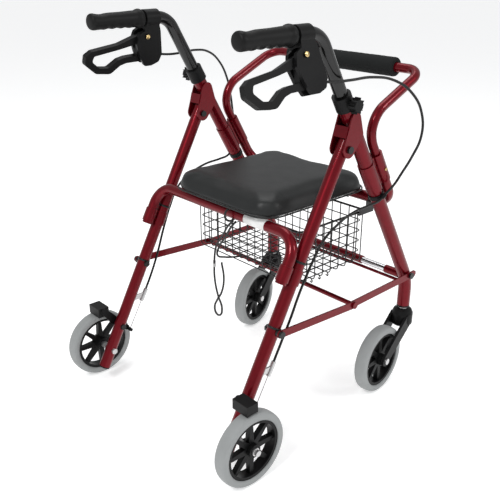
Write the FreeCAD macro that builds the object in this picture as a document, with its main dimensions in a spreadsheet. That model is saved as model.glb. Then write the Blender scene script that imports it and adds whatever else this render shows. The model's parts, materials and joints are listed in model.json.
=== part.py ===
"""Rollator walker: a folding four-wheeled walking frame with a seat, a backrest bar,
a wire basket and cable brakes.

Millimetres.  X points to the user's right, Y forward in the walking direction, Z up.
The origin lies on the floor, midway between the two sides and midway between the
rearmost and the foremost point of the frame.  Places in the side view are given as a
distance forward of the rear axle and a height above the floor.
"""

import FreeCAD, Part
import Sketcher
import math
import os

from FreeCAD import Placement, Rotation, Vector

SIDES = {"left": -1, "right": 1}
X_AXIS = Vector(1, 0, 0)
Y_AXIS = Vector(0, 1, 0)
Z_AXIS = Vector(0, 0, 1)

doc = FreeCAD.newDocument("rollator_walker")
sheet = doc.addObject("Spreadsheet::Sheet", "Sizes")

# ---------------------------------------------------------------- driving sizes
SIZES = {
    # side frames
    "leg_plane": 212.5,
    "pivot_fwd": 272.5,
    "pivot_up": 579.8,
    "front_lean": 29.9,
    "hinge_offset": 39.7,
    "stem_fwd": 513.5,
    "stem_up": 176.0,
    "leg_rise": 79.5,
    "kink_radius": 110.0,
    "front_tube": 28.6,
    "front_bore": 25.4,
    "rear_tube": 25.4,
    "rear_bore": 22.6,
    "rear_leg_top": 15.0,
    "rear_leg_foot": 42.0,
    # fits
    "fit_gap": 0.1,
    "rest_gap": 0.3,
    "bolt_radius": 4.0,
    "head_radius": 7.0,
    "head_height": 4.5,
    # hinge bracket
    "cheek_wall": 3.0,
    "cheek_lobe": 16.0,
    "cheek_top": 13.0,
    "cheek_nose": 11.0,
    # wheels
    "wheel_radius": 76.0,
    "tyre_width": 27.4,
    "tyre_seat": 61.0,
    "tyre_crown": 6.5,
    "rim_width": 22.0,
    "rim_wall": 6.5,
    "hub_radius": 13.0,
    "hub_width": 30.0,
    "spoke_count": 8,
    "spoke_root": 13.0,
    "spoke_tip": 7.0,
    "spoke_depth": 11.0,
    "rear_wheel_plane": 259.0,
    # casters
    "trail": 94.0,
    "left_yaw": 15.0,
    "right_yaw": 6.0,
    "crown_radius": 23.5,
    "crown_top": 168.0,
    "crown_foot": 128.0,
    "fork_wall": 6.0,
    "stem_radius": 6.0,
    "stem_length": 36.0,
    # seat tubes and the brackets that hold them
    "seat_tube": 22.2,
    "seat_tube_bore": 19.4,
    "seat_tube_bend": 44.0,
    "sleeve_wall": 2.0,
    "front_sleeve_drop": 73.4,
    "front_sleeve_length": 66.6,
    "front_sleeve_offset": 33.0,
    "front_tube_drop": 138.0,
    "rear_sleeve_drop": 252.5,
    "rear_sleeve_length": 30.0,
    "rear_sleeve_offset": 28.1,
    "rear_tube_rise": 70.2,
    # seat
    "seat_width": 294.0,
    "seat_depth": 276.0,
    "seat_front": 446.0,
    "seat_lift": 7.3,
    "pad_height": 30.0,
    "pad_corner": 34.0,
    "base_wall": 5.5,
    "clip_spread": 90.0,
    "clip_width": 26.0,
    "clip_wall": 3.0,
    # backrest
    "back_tube": 19.0,
    "back_bore": 16.2,
    "back_fwd": 503.0,
    "back_up": 696.0,
    "back_insert": 58.0,
    "foam_radius": 19.5,
    "foam_length": 300.0,
    "button_radius": 3.2,
    "button_drop": 37.5,
    "button_stand": 3.0,
    # handles
    "handle_inside": 190.0,
    "grip_up": 789.0,
    "grip_start": 15.0,
    "grip_length": 110.0,
    "grip_radius": 15.0,
    "grip_flange": 19.0,
    "handle_bend": 45.0,
    "lever_tilt": 16.0,
    "collar_wall": 3.8,
    "collar_below": 18.0,
    "collar_above": 12.0,
    "clamp_fwd": 138.0,
    "clamp_length": 33.0,
    "clamp_wall": 4.5,
    "housing_width": 27.0,
    "lever_width": 12.0,
    "lever_fwd": 144.0,
    "lever_drop": 33.0,
    "knob_radius": 11.0,
    "knob_height": 14.0,
    "lobe_radius": 5.5,
    "lobe_reach": 14.5,
    "lobe_count": 5,
    # stays and cross bars
    "stay_height": 15.5,
    "stay_wall": 3.0,
    "rear_stay_up": 263.0,
    "front_stay_up": 255.0,
    "mid_fwd": 310.0,
    "mid_up": 251.0,
    "stay_tip": 12.0,
    "mid_rod": 10.0,
    "bar_up": 247.0,
    "bar_tube": 19.0,
    "bar_rod": 15.0,
    "bar_chrome_start": 92.0,
    "bar_chrome_end": 160.0,
    "bar_low_rod": 7.0,
    "bar_low_drop": 14.0,
    # brakes
    "brake_up": 128.0,
    "brake_wall": 5.0,
    "shoe_gap": 2.5,
    "shoe_height": 21.0,
    "shoe_length": 26.0,
    "shoe_reach": 40.0,
    "cable_radius": 2.5,
    "wire_radius": 0.8,
    # basket
    "basket_width": 310.0,
    "basket_depth": 192.0,
    "basket_rear": 226.0,
    "basket_top": 409.0,
    "basket_height": 117.0,
    "mesh_wire": 2.4,
    "rim_wire": 4.6,
    "mesh_step": 24.0,
    "hoop_count": 4,
    "hanger_wall": 2.0,
    "hanger_length": 46.0,
}


class Size(float):
    """A number from the sheet that also carries the expression giving it."""

    def __new__(cls, value, text):
        size = float.__new__(cls, value)
        size.text = text
        return size

    def combined(self, other, symbol, value):
        return Size(value, f"({self.text} {symbol} {text_of(other)})")

    def __add__(self, other):
        return self.combined(other, "+", float(self) + float(other))

    def __sub__(self, other):
        return self.combined(other, "-", float(self) - float(other))

    def __mul__(self, other):
        return self.combined(other, "*", float(self) * float(other))

    def __truediv__(self, other):
        return self.combined(other, "/", float(self) / float(other))

    def __neg__(self):
        return Size(-float(self), f"(0 - {self.text})")


def text_of(value):
    return value.text if isinstance(value, Size) else repr(float(value))


class Sizes:
    """Every cell of the sheet as a Size, under the name of its alias."""


def fill_sheet():
    sizes = Sizes()
    for row, (alias, value) in enumerate(SIZES.items(), start=1):
        sheet.set(f"A{row}", alias)
        sheet.set(f"B{row}", str(value))
        sheet.setAlias(f"B{row}", alias)
    doc.recompute()
    for alias in SIZES:
        setattr(sizes, alias, Size(getattr(sheet, alias), f"Sizes.{alias}"))
    return sizes


s = fill_sheet()
AXLE_Y = -(s.stem_fwd + s.crown_radius - s.wheel_radius) / 2

# ---------------------------------------------------------------- building blocks
parts = {}


def side_point(x, forward, up):
    """A point from its plane, its distance forward of the rear axle and its height."""
    return Vector(float(x), float(forward) + float(AXLE_Y), float(up))


def keep(label, obj):
    obj.Label = label
    parts[label] = obj
    return obj


def bind(obj, **values):
    """Set properties of an object, and tie each one to the sheet where it comes from it."""
    for name, value in values.items():
        setattr(obj, name, float(value))
        if isinstance(value, Size):
            obj.setExpression(name, value.text)
    return obj


def along(base, direction):
    """A placement at base with its own Z along direction."""
    return Placement(base, Rotation(Z_AXIS, direction))


def cylinder(radius, height, base, direction=Z_AXIS):
    obj = doc.addObject("Part::Cylinder", "Cylinder")
    bind(obj, Radius=radius, Height=height)
    obj.Placement = along(base, direction)
    return obj


def box(length, width, height, placement):
    """A box centred on the placement's own X and Y, standing on its Z."""
    obj = doc.addObject("Part::Box", "Box")
    bind(obj, Length=length, Width=width, Height=height)
    obj.Placement = placement * Placement(Vector(-float(length) / 2, -float(width) / 2, 0), Rotation())
    return obj


def prism(sides, radius, height, base, direction=Z_AXIS):
    obj = doc.addObject("Part::Prism", "Prism")
    obj.Polygon = sides
    bind(obj, Circumradius=radius, Height=height)
    obj.Placement = along(base, direction)
    return obj


def fuse(*shapes):
    obj = doc.addObject("Part::MultiFuse", "Fuse")
    obj.Shapes = list(shapes)
    return obj


def cut(base, *tools):
    obj = doc.addObject("Part::Cut", "Cut")
    obj.Base = base
    obj.Tool = tools[0] if len(tools) == 1 else fuse(*tools)
    return obj


def group(label, *solids):
    """Separate solids of one kind that share a node."""
    obj = doc.addObject("Part::Compound", "Group")
    obj.Links = list(solids)
    return keep(label, obj)


def new_body(name):
    return doc.addObject("PartDesign::Body", name)


def plane_of(body, role):
    for feature in body.Origin.OriginFeatures:
        if feature.Role == role:
            return feature
    raise LookupError(role)


def sketch_on(body, role, offset=0.0):
    sketch = body.newObject("Sketcher::SketchObject", "Sketch")
    sketch.AttachmentSupport = [(plane_of(body, role), "")]
    sketch.MapMode = "FlatFace"
    sketch.AttachmentOffset = Placement(Vector(0, 0, float(offset)), Rotation())
    return sketch


def rounded_edges(corners, closed=True):
    """Lines and tangent arcs through corners, each an (x, y) or an (x, y, radius)."""
    points = [Vector(float(c[0]), float(c[1]), 0) for c in corners]
    radii = [float(c[2]) if len(c) > 2 else 0.0 for c in corners]
    return edges_through(points, radii, closed)


def edges_through(points, radii, closed):
    count = len(points)
    starts, ends, arcs = list(points), list(points), [None] * count
    for i in range(count):
        if radii[i] <= 0 or (not closed and i in (0, count - 1)):
            continue
        back = (points[i - 1] - points[i]).normalize()
        on = (points[(i + 1) % count] - points[i]).normalize()
        half_turn = (math.pi - back.getAngle(on)) / 2
        reach = radii[i] * math.tan(half_turn)
        ends[i] = points[i] + back * reach
        starts[i] = points[i] + on * reach
        middle = (back + on).normalize()
        top = points[i] + middle * (radii[i] / math.cos(half_turn) - radii[i])
        arcs[i] = (ends[i], top, starts[i])
    edges = []
    for i in range(count if closed else count - 1):
        j = (i + 1) % count
        if (starts[i] - ends[j]).Length > 1e-6:
            edges.append(Part.LineSegment(starts[i], ends[j]))
        if arcs[j] and (closed or j < count - 1):
            edges.append(Part.Arc(*arcs[j]))
    return edges


def draw(sketch, corners, closed=True):
    for edge in rounded_edges(corners, closed):
        sketch.addGeometry(edge, False)
    return sketch


def draw_circle(sketch, radius, x=0.0, y=0.0):
    """A circle whose radius is a constraint bound to the sheet."""
    index = sketch.addGeometry(Part.Circle(Vector(float(x), float(y), 0), Z_AXIS, float(radius)), False)
    number = sketch.addConstraint(Sketcher.Constraint("Radius", index, float(radius)))
    if isinstance(radius, Size):
        sketch.setExpression(f"Constraints[{number}]", radius.text)
    return sketch


def pad(body, sketch, length, both_ways=False):
    feature = body.newObject("PartDesign::Pad", "Pad")
    feature.Profile = sketch
    feature.Midplane = both_ways
    return bind(feature, Length=length)


def pocket(body, sketch, length, both_ways=False, other_way=False):
    feature = body.newObject("PartDesign::Pocket", "Pocket")
    feature.Profile = sketch
    feature.Midplane = both_ways
    feature.Reversed = other_way
    return bind(feature, Length=length)


def revolve(body, sketch):
    feature = body.newObject("PartDesign::Revolution", "Revolution")
    feature.Profile = sketch
    feature.ReferenceAxis = (sketch, ["V_Axis"])
    feature.Angle = 360.0
    return feature


def drill(body, radius, point, direction, back=100.0, depth=100.0):
    """A round hole in a placed body, from the distance back behind the point to depth."""
    inward = body.Placement.inverse()
    aim = inward.Rotation.multVec(direction)
    feature = body.newObject("PartDesign::SubtractiveCylinder", "Hole")
    bind(feature, Radius=radius, Height=depth + back)
    feature.Placement = along(inward.multVec(point) - aim * back, aim)
    return feature


def belt(circles):
    """The outline of a band round circles, each an (x, y, radius), taken anticlockwise."""
    centres = [Vector(float(c[0]), float(c[1]), 0) for c in circles]
    radii = [float(c[2]) for c in circles]
    count = len(circles)
    normals = []
    for i in range(count):
        j = (i + 1) % count
        gap = centres[j] - centres[i]
        lean = (radii[i] - radii[j]) / gap.Length
        ahead = gap.normalize()
        right = Vector(ahead.y, -ahead.x, 0)
        normals.append(ahead * lean + right * math.sqrt(1 - lean * lean))
    edges = []
    for i in range(count):
        j = (i + 1) % count
        leaving, arriving = centres[i] + normals[i] * radii[i], centres[j] + normals[i] * radii[j]
        edges.append(Part.LineSegment(leaving, arriving))
        middle = normals[i] + normals[j]
        if middle.Length < 1e-6:
            middle = Vector(-normals[i].y, normals[i].x, 0)
        middle = middle.normalize()
        edges.append(Part.Arc(arriving, centres[j] + middle * radii[j], centres[j] + normals[j] * radii[j]))
    return edges


def draw_belt(sketch, circles):
    for edge in belt(circles):
        sketch.addGeometry(edge, False)
    return sketch


def fillet(body, base, radius, wanted):
    """Round the edges of the last feature that the test picks."""
    doc.recompute()
    names = [f"Edge{i + 1}" for i, edge in enumerate(base.Shape.Edges) if wanted(edge)]
    feature = body.newObject("PartDesign::Fillet", "Fillet")
    feature.Base = (base, names)
    return bind(feature, Radius=radius)


def turned(name, profile, placement=Placement()):
    """A body turned about its own Z from a closed (radius, height) profile."""
    body = new_body(name)
    revolve(body, draw(sketch_on(body, "XZ_Plane"), profile))
    body.Placement = placement
    return body


def straight_tube(name, start, end, outside, bore):
    """A round tube between two points, made of a ring padded along the line."""
    body = new_body(name)
    ring = sketch_on(body, "XY_Plane")
    draw_circle(ring, outside / 2)
    draw_circle(ring, bore / 2)
    pad(body, ring, (end - start).Length)
    body.Placement = along(start, end - start)
    return body


def bent_tube(name, corners, outside, placement):
    """A bar bent in its own XZ plane.  Its first run starts along the body's Z."""
    body = new_body(name)
    path = draw(sketch_on(body, "XZ_Plane"), corners, closed=False)
    ring = sketch_on(body, "XY_Plane", corners[0][1])
    draw_circle(ring, outside / 2, corners[0][0])
    doc.recompute()
    pipe = body.newObject("PartDesign::AdditivePipe", "Pipe")
    pipe.Profile = ring
    pipe.Spine = (path, [f"Edge{i + 1}" for i in range(len(path.Shape.Edges))])
    body.Placement = placement
    return body


def section(start, ahead, radius, sides=0):
    """A circle, or a polygon round the same size, across the start of a path."""
    circle = Part.Circle(start, ahead, float(radius))
    if not sides:
        return Part.Wire([circle.toShape()])
    corners = [circle.value(2 * math.pi * i / sides) for i in range(sides)]
    return Part.makePolygon(corners + corners[:1])


def swept(points, radii, radius, sides=0):
    """A solid swept along straight runs joined by tangent arcs in space."""
    edges = edges_through(points, radii, closed=False)
    path = Part.Wire([edge.toShape() for edge in edges])
    return path.makePipeShell([section(points[0], points[1] - points[0], radius, sides)], True, False)


def feature_of(name, shape):
    obj = doc.addObject("Part::Feature", name)
    obj.Shape = shape
    return obj


def cord(name, points, radius):
    """A cord: runs joined by arcs as large as the runs allow.  Prints its radii."""
    radii = [0.0]
    for before, point, after in zip(points, points[1:], points[2:]):
        turn = (point - before).getAngle(after - point)
        shorter = min((point - before).Length, (after - point).Length)
        radii.append(0.45 * shorter / math.tan(turn / 2))
    radii.append(0.0)
    bends = [round(r, 1) for r in radii[1:-1]]
    print(f"{name}: radii {bends}, least {min(bends) / (2 * float(radius)):.1f} diameters")
    return feature_of(name, swept(points, radii, radius, sides=8))


# ---------------------------------------------------------------- the side-view frame
LEAN = math.radians(s.front_lean)
UP_FRONT = Vector(0, -math.sin(LEAN), math.cos(LEAN))
AHEAD_FRONT = Vector(0, math.cos(LEAN), math.sin(LEAN))


def on_front_leg(x, rise, ahead=0.0):
    """A point by its rise along the front leg from the hinge, and its offset ahead."""
    return (
        side_point(x, s.pivot_fwd, s.pivot_up)
        + AHEAD_FRONT * (float(s.hinge_offset) + float(ahead))
        + UP_FRONT * float(rise)
    )


def front_leg_at_height(x, up):
    foot = on_front_leg(x, 0)
    return on_front_leg(x, (float(up) - foot.z) / UP_FRONT.z)


AXLE = side_point(0, 0, s.wheel_radius)
PIVOT = side_point(0, s.pivot_fwd, s.pivot_up)
UP_REAR = (PIVOT - AXLE).normalize()
AHEAD_REAR = Vector(0, UP_REAR.z, -UP_REAR.y)


def on_rear_leg(x, drop, ahead=0.0):
    """A point by its distance down the rear leg from the hinge, and its offset ahead."""
    return PIVOT + X_AXIS * float(x) - UP_REAR * float(drop) + AHEAD_REAR * float(ahead)


def rear_leg_at_height(x, up):
    return on_rear_leg(x, (PIVOT.z - float(up)) / UP_REAR.z)


SIDE_VIEW = Rotation(Z_AXIS, 90)
FRONT_VIEW_LEANING = Rotation(X_AXIS, float(s.front_lean))
REAR_LEAN = math.degrees(math.atan2(UP_REAR.y, UP_REAR.z))
REAR_VIEW_LEANING = Rotation(X_AXIS, -REAR_LEAN)
LEG_TOP = s.leg_rise
KNOB_DROP = 7.0


def bolt(x_start, x_end, centre, head_out=True):
    """A bolt across the frame with a domed head at x_end and a hexagon nut at x_start."""
    out = X_AXIS if x_end > x_start else -X_AXIS
    start = Vector(x_start, centre.y, centre.z)
    end = Vector(x_end, centre.y, centre.z)
    shank = cylinder(s.bolt_radius, (end - start).Length, start, out)
    head = cylinder(s.head_radius, s.head_height, end, out)
    nut = prism(6, s.head_radius, s.head_height, start - out * float(s.head_height), out)
    return fuse(shank, head, nut)


# ---------------------------------------------------------------- side frames
RUN_GAP = s.fit_gap * 0.8
KNOB_POINT = {side: on_front_leg(sign * s.leg_plane, LEG_TOP - KNOB_DROP) for side, sign in SIDES.items()}
STAY_FRONT = front_leg_at_height(0, s.front_stay_up)
STAY_REAR = rear_leg_at_height(0, s.rear_stay_up)
STAY_MID = side_point(0, s.mid_fwd, s.mid_up)
BRAKE_PIVOT = rear_leg_at_height(0, s.brake_up)
FRONT_TUBE_TOP = on_front_leg(0, -s.front_sleeve_drop, s.front_sleeve_offset)
FRONT_TUBE_LOW = FRONT_TUBE_TOP - UP_FRONT * float(s.front_tube_drop)
REAR_SLEEVE = on_rear_leg(0, s.rear_sleeve_drop, -s.rear_sleeve_offset)
REAR_TUBE_HIGH = REAR_SLEEVE + UP_REAR * float(s.rear_tube_rise)
SCREW_RADIUS = s.bolt_radius * 0.75


def plane_x(sign):
    return sign * float(s.leg_plane)


def front_leg(side, sign):
    """The front leg: upright over the caster, then leaning back to the handle."""
    stem = side_point(0, s.stem_fwd, s.stem_up)
    foot = on_front_leg(0, 0)
    kink_up = foot.z - (stem.y - foot.y) / math.tan(LEAN)
    top = on_front_leg(0, LEG_TOP)
    corners = [(stem.y, stem.z), (stem.y, kink_up, s.kink_radius), (top.y, top.z)]
    place = Placement(X_AXIS * plane_x(sign), SIDE_VIEW)
    body = bent_tube(f"FrontLeg_{side}", corners, s.front_tube, place)
    across = X_AXIS * plane_x(sign)
    drill(body, s.front_bore / 2, top + across, -UP_FRONT, back=1.0, depth=s.handle_inside + 20.0)
    drill(body, s.front_bore / 2, stem + across, Z_AXIS, back=1.0, depth=s.stem_length - 4.0)
    drill(body, SCREW_RADIUS + s.fit_gap, KNOB_POINT[side], X_AXIS * sign, back=0.0)
    drill(body, s.bolt_radius + s.fit_gap, STAY_FRONT + X_AXIS * plane_x(sign), X_AXIS)
    keep(f"front_leg_{side}", body)


def rear_leg(side, sign):
    """The rear leg: a straight tube from the hinge to below the axle."""
    reach = (PIVOT - AXLE).Length
    low = on_rear_leg(plane_x(sign), reach + s.rear_leg_foot)
    high = on_rear_leg(plane_x(sign), -s.rear_leg_top)
    body = straight_tube(f"RearLeg_{side}", low, high, s.rear_tube, s.rear_bore)
    across = X_AXIS * plane_x(sign)
    drill(body, s.bolt_radius + RUN_GAP, PIVOT + across, X_AXIS)
    for point in (STAY_REAR, BRAKE_PIVOT, AXLE):
        drill(body, s.bolt_radius + s.fit_gap, point + across, X_AXIS)
    keep(f"rear_leg_{side}", body)


def rear_leg_plugs():
    """Moulded plugs in both ends of the rear legs."""
    solids = []
    reach = (PIVOT - AXLE).Length
    for sign in SIDES.values():
        low = on_rear_leg(plane_x(sign), reach + s.rear_leg_foot)
        high = on_rear_leg(plane_x(sign), -s.rear_leg_top)
        for end, out, deep in ((low, -UP_REAR, 16.0), (high, UP_REAR, 6.0)):
            stem = cylinder(s.rear_bore / 2 - s.fit_gap, deep, end - out * deep, out)
            cap = cylinder(s.rear_tube / 2 - 0.6, 3.0, end + out * 0.02, out)
            solids.append(fuse(stem, cap))
    group("rear_leg_plugs", *solids)


def leg_collars():
    """Plastic collars that cap the front legs and guide the handle tubes."""
    solids = []
    for side, sign in SIDES.items():
        base = on_front_leg(plane_x(sign), LEG_TOP - s.collar_below)
        height = s.collar_below + s.collar_above
        outer = s.front_tube / 2 + s.collar_wall
        shell = cylinder(outer, height, base, UP_FRONT)
        boss_length = s.front_tube / 2 + s.collar_wall + 3.0
        boss = cylinder(s.knob_radius - 2.0, boss_length, KNOB_POINT[side], X_AXIS * sign)
        leg_hole = cylinder(s.front_tube / 2 + s.fit_gap, s.collar_below + s.fit_gap, base, UP_FRONT)
        tube_hole = cylinder(s.front_bore / 2 + s.fit_gap, height, base, UP_FRONT)
        screw_hole = cylinder(SCREW_RADIUS + RUN_GAP, 40.0, KNOB_POINT[side], X_AXIS * sign)
        solids.append(cut(fuse(shell, boss), leg_hole, tube_hole, screw_hole))
    group("leg_collars", *solids)


def knob(side, sign):
    """A lobed hand knob on a screw that locks the handle height."""
    body = new_body(f"Knob_{side}")
    hub = draw_circle(sketch_on(body, "XY_Plane"), s.knob_radius)
    pad(body, hub, s.knob_height)
    circles = [(0, 0, s.lobe_radius - 1.0), (s.lobe_reach, 0, s.lobe_radius)]
    lobe = draw_belt(sketch_on(body, "XY_Plane"), circles)
    lobe_pad = pad(body, lobe, s.knob_height)
    pattern = body.newObject("PartDesign::PolarPattern", "Lobes")
    pattern.Originals = [lobe_pad]
    pattern.Axis = (hub, ["N_Axis"])
    pattern.Angle = 360.0
    pattern.Occurrences = int(s.lobe_count)
    pattern.setExpression("Occurrences", s.lobe_count.text)
    body.Tip = pattern
    face = s.front_tube / 2 + s.collar_wall + 3.0 + s.rest_gap
    screw_length = face - s.front_bore / 2 - 0.5
    screw = body.newObject("PartDesign::AdditiveCylinder", "Screw")
    bind(screw, Radius=SCREW_RADIUS, Height=screw_length + 1.0)
    screw.Placement = Placement(Vector(0, 0, -float(screw_length)), Rotation())
    body.Placement = along(KNOB_POINT[side] + X_AXIS * (sign * float(face)), X_AXIS * sign)
    keep(f"knob_{side}", body)


def hinge_brackets():
    """Folded channels welded to the front legs; the rear legs hang between their cheeks."""
    solids = []
    gap = s.front_tube + s.fit_gap * 2
    nose = front_leg_at_height(0, 606.0) - AHEAD_FRONT * 5.5
    top = front_leg_at_height(0, 634.0)
    t = Vector(top.y - PIVOT.y, top.z - PIVOT.z, 0).normalize()
    rear = Vector(-t.y, t.x, 0)
    pivot = Vector(PIVOT.y, PIVOT.z, 0)
    edge = pivot + rear * float(s.cheek_lobe)
    web_low, web_high = edge + t * 19.0, edge + t * 40.0
    for side, sign in SIDES.items():
        body = new_body(f"HingeBracket_{side}")
        outline = draw_belt(sketch_on(body, "XZ_Plane"), [
            (PIVOT.y, PIVOT.z, s.cheek_lobe), (nose.y, nose.z, s.cheek_nose), (top.y, top.z, s.cheek_top),
        ])
        pad(body, outline, gap + s.cheek_wall * 2, both_ways=True)
        hollow = draw_belt(sketch_on(body, "XZ_Plane"), [
            (PIVOT.y, PIVOT.z, s.cheek_lobe + 5.0), (nose.y, nose.z, s.cheek_nose + 5.0),
            (top.y, top.z, s.cheek_top + 5.0),
        ])
        pocket(body, hollow, gap, both_ways=True)
        back = rear * float(s.cheek_wall)
        web = [(p.x, p.y) for p in (web_low, web_high, web_high - back, web_low - back)]
        pad(body, draw(sketch_on(body, "XZ_Plane"), web), gap + s.cheek_wall, both_ways=True)
        body.Placement = Placement(X_AXIS * plane_x(sign), SIDE_VIEW)
        drill(body, s.bolt_radius + s.fit_gap, PIVOT + X_AXIS * plane_x(sign), X_AXIS)
        solids.append(body)
    group("hinge_brackets", *solids)


def pivot_bolts():
    solids = []
    reach = float(s.front_tube) / 2 + float(s.fit_gap) + float(s.cheek_wall) + 0.1
    for sign in SIDES.values():
        x = plane_x(sign)
        solids.append(bolt(x - sign * reach, x + sign * reach, PIVOT))
    group("pivot_bolts", *solids)


def sleeve(x, base, up, ahead, length, leg_tube, offset, extra=()):
    """A clamp with one bore for the leg and one, offset ahead, for a seat tube."""
    leg_outer = leg_tube / 2 + s.sleeve_wall
    tube_outer = s.seat_tube / 2 + s.sleeve_wall
    second = base + ahead * float(offset)
    turn = Placement(base + ahead * (float(offset) / 2), Rotation(X_AXIS * 1.0, ahead, up, "XZY"))
    shell = fuse(
        cylinder(leg_outer, length, base, up),
        cylinder(tube_outer, length, second, up),
        box(s.sleeve_wall * 4.5, abs(float(offset)), length, turn),
    )
    below = 1.0
    return cut(
        shell,
        cylinder(leg_tube / 2 + s.fit_gap, length + below * 2, base - up * below, up),
        cylinder(s.seat_tube / 2 + s.fit_gap, length + below * 2, second - up * below, up),
        *extra,
    )


def button_point(side):
    sign = SIDES[side]
    return FRONT_TUBE_TOP - UP_FRONT * float(s.button_drop) + X_AXIS * plane_x(sign)


def sleeves():
    """Figure-of-eight clamps that join the seat tubes to the legs."""
    front, rear = [], []
    for side, sign in SIDES.items():
        x = plane_x(sign)
        low = on_front_leg(x, -(s.front_sleeve_drop + s.front_sleeve_length))
        hole = cylinder(s.button_radius + RUN_GAP, 40.0, button_point(side), X_AXIS * sign)
        front.append(sleeve(
            x, low, UP_FRONT, AHEAD_FRONT, s.front_sleeve_length, s.front_tube, s.front_sleeve_offset, [hole]
        ))
        low = on_rear_leg(x, s.rear_sleeve_drop + s.rear_sleeve_length / 2)
        rear.append(sleeve(
            x, low, UP_REAR, -AHEAD_REAR, s.rear_sleeve_length, s.rear_tube, s.rear_sleeve_offset
        ))
    group("front_sleeves", *front)
    group("rear_sleeves", *rear)


def seat_tubes():
    """The front and rear seat tubes: a U across the frame between the clamps."""
    x = s.leg_plane
    low = -s.front_tube_drop
    front = bent_tube(
        "FrontSeatTube",
        [(-x, 0.0), (-x, low, s.seat_tube_bend), (x, low, s.seat_tube_bend), (x, 0.0)],
        s.seat_tube, Placement(FRONT_TUBE_TOP, FRONT_VIEW_LEANING),
    )
    bore = s.seat_tube_bore / 2
    for side, sign in SIDES.items():
        end_point = FRONT_TUBE_TOP + X_AXIS * plane_x(sign)
        drill(front, bore, end_point, -UP_FRONT, back=1.0, depth=s.front_tube_drop - s.seat_tube_bend)
        drill(front, s.button_radius + RUN_GAP, button_point(side), X_AXIS * sign, back=0.0)
    keep("front_seat_tube", front)
    end = -(s.rear_sleeve_length / 2 + 5.0)
    high = s.rear_tube_rise
    rear = bent_tube(
        "RearSeatTube",
        [(-x, end), (-x, high, s.seat_tube_bend), (x, high, s.seat_tube_bend), (x, end)],
        s.seat_tube, Placement(REAR_SLEEVE, REAR_VIEW_LEANING),
    )
    for sign in SIDES.values():
        end_point = REAR_SLEEVE + UP_REAR * float(end) + X_AXIS * plane_x(sign)
        drill(rear, bore, end_point, UP_REAR, back=1.0, depth=high - end - s.seat_tube_bend)
    keep("rear_seat_tube", rear)


# ---------------------------------------------------------------- backrest
def backrest():
    """The backrest tube: up out of the clamps, forward, then across behind the back."""
    x = float(s.leg_plane)
    sides = []
    for sign in (-1, 1):
        foot = FRONT_TUBE_TOP - UP_FRONT * float(s.back_insert) + X_AXIS * (sign * x)
        knee = FRONT_TUBE_TOP + UP_FRONT * 34.0 + X_AXIS * (sign * x)
        bow = side_point(sign * x, 356.0, 628.0)
        corner = side_point(sign * x, s.back_fwd, s.back_up)
        sides.append([foot, knee, bow, corner])
    points = sides[0] + sides[1][::-1]
    radii = [0, 60.0, 55.0, 34.0, 34.0, 55.0, 60.0, 0]
    bar = feature_of("BackTubeBar", swept(points, radii, s.back_tube / 2))
    holes = []
    for side, sign in SIDES.items():
        foot = FRONT_TUBE_TOP - UP_FRONT * float(s.back_insert + 1.0) + X_AXIS * (sign * x)
        holes.append(cylinder(s.back_bore / 2, s.back_insert, foot, UP_FRONT))
        holes.append(cylinder(s.button_radius + RUN_GAP, 40.0, button_point(side), X_AXIS * sign))
    keep("backrest_tube", cut(bar, *holes))


def backrest_foam():
    """The foam sleeve on the backrest bar."""
    body = new_body("BackrestFoam")
    ring = sketch_on(body, "YZ_Plane")
    draw_circle(ring, s.foam_radius)
    draw_circle(ring, s.back_tube / 2 + s.fit_gap)
    pad(body, ring, s.foam_length, both_ways=True)
    body.Placement = Placement(side_point(0, s.back_fwd, s.back_up), Rotation())
    keep("backrest_foam", body)


def snap_button(side, sign):
    """The sprung button that locks the backrest tube in its clamp."""
    inside = s.back_bore / 2 - 3.5
    length = s.seat_tube / 2 + s.sleeve_wall + s.button_stand - inside
    start = button_point(side) + X_AXIS * (sign * float(inside))
    stem = cylinder(s.button_radius, length - 1.2, start, X_AXIS * sign)
    crown = doc.addObject("Part::Cone", "Crown")
    bind(crown, Radius1=s.button_radius, Radius2=s.button_radius - 1.2, Height=1.2)
    crown.Placement = along(start + X_AXIS * (sign * float(length - 1.2)), X_AXIS * sign)
    keep(f"snap_button_{side}", fuse(stem, crown))


# ---------------------------------------------------------------- seat
SEAT_BASE_Z = FRONT_TUBE_LOW.z + float(s.seat_tube) / 2 + float(s.seat_lift)
SEAT_CENTRE = side_point(0, s.seat_front - s.seat_depth / 2, SEAT_BASE_Z)


def rounded_rectangle(width, depth, corner):
    w, d = float(width) / 2, float(depth) / 2
    return [(-w, -d, corner), (w, -d, corner), (w, d, corner), (-w, d, corner)]


def seat_pad():
    body = new_body("SeatPad")
    outline = draw(sketch_on(body, "XY_Plane"), rounded_rectangle(s.seat_width, s.seat_depth, s.pad_corner))
    slab = pad(body, outline, s.pad_height)
    top = float(s.pad_height)
    fillet(body, slab, 9.0, lambda edge: min(v.Z for v in edge.Vertexes) > top - 0.01)
    body.Placement = Placement(SEAT_CENTRE + Z_AXIS * float(s.base_wall), Rotation())
    keep("seat_pad", body)


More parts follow.
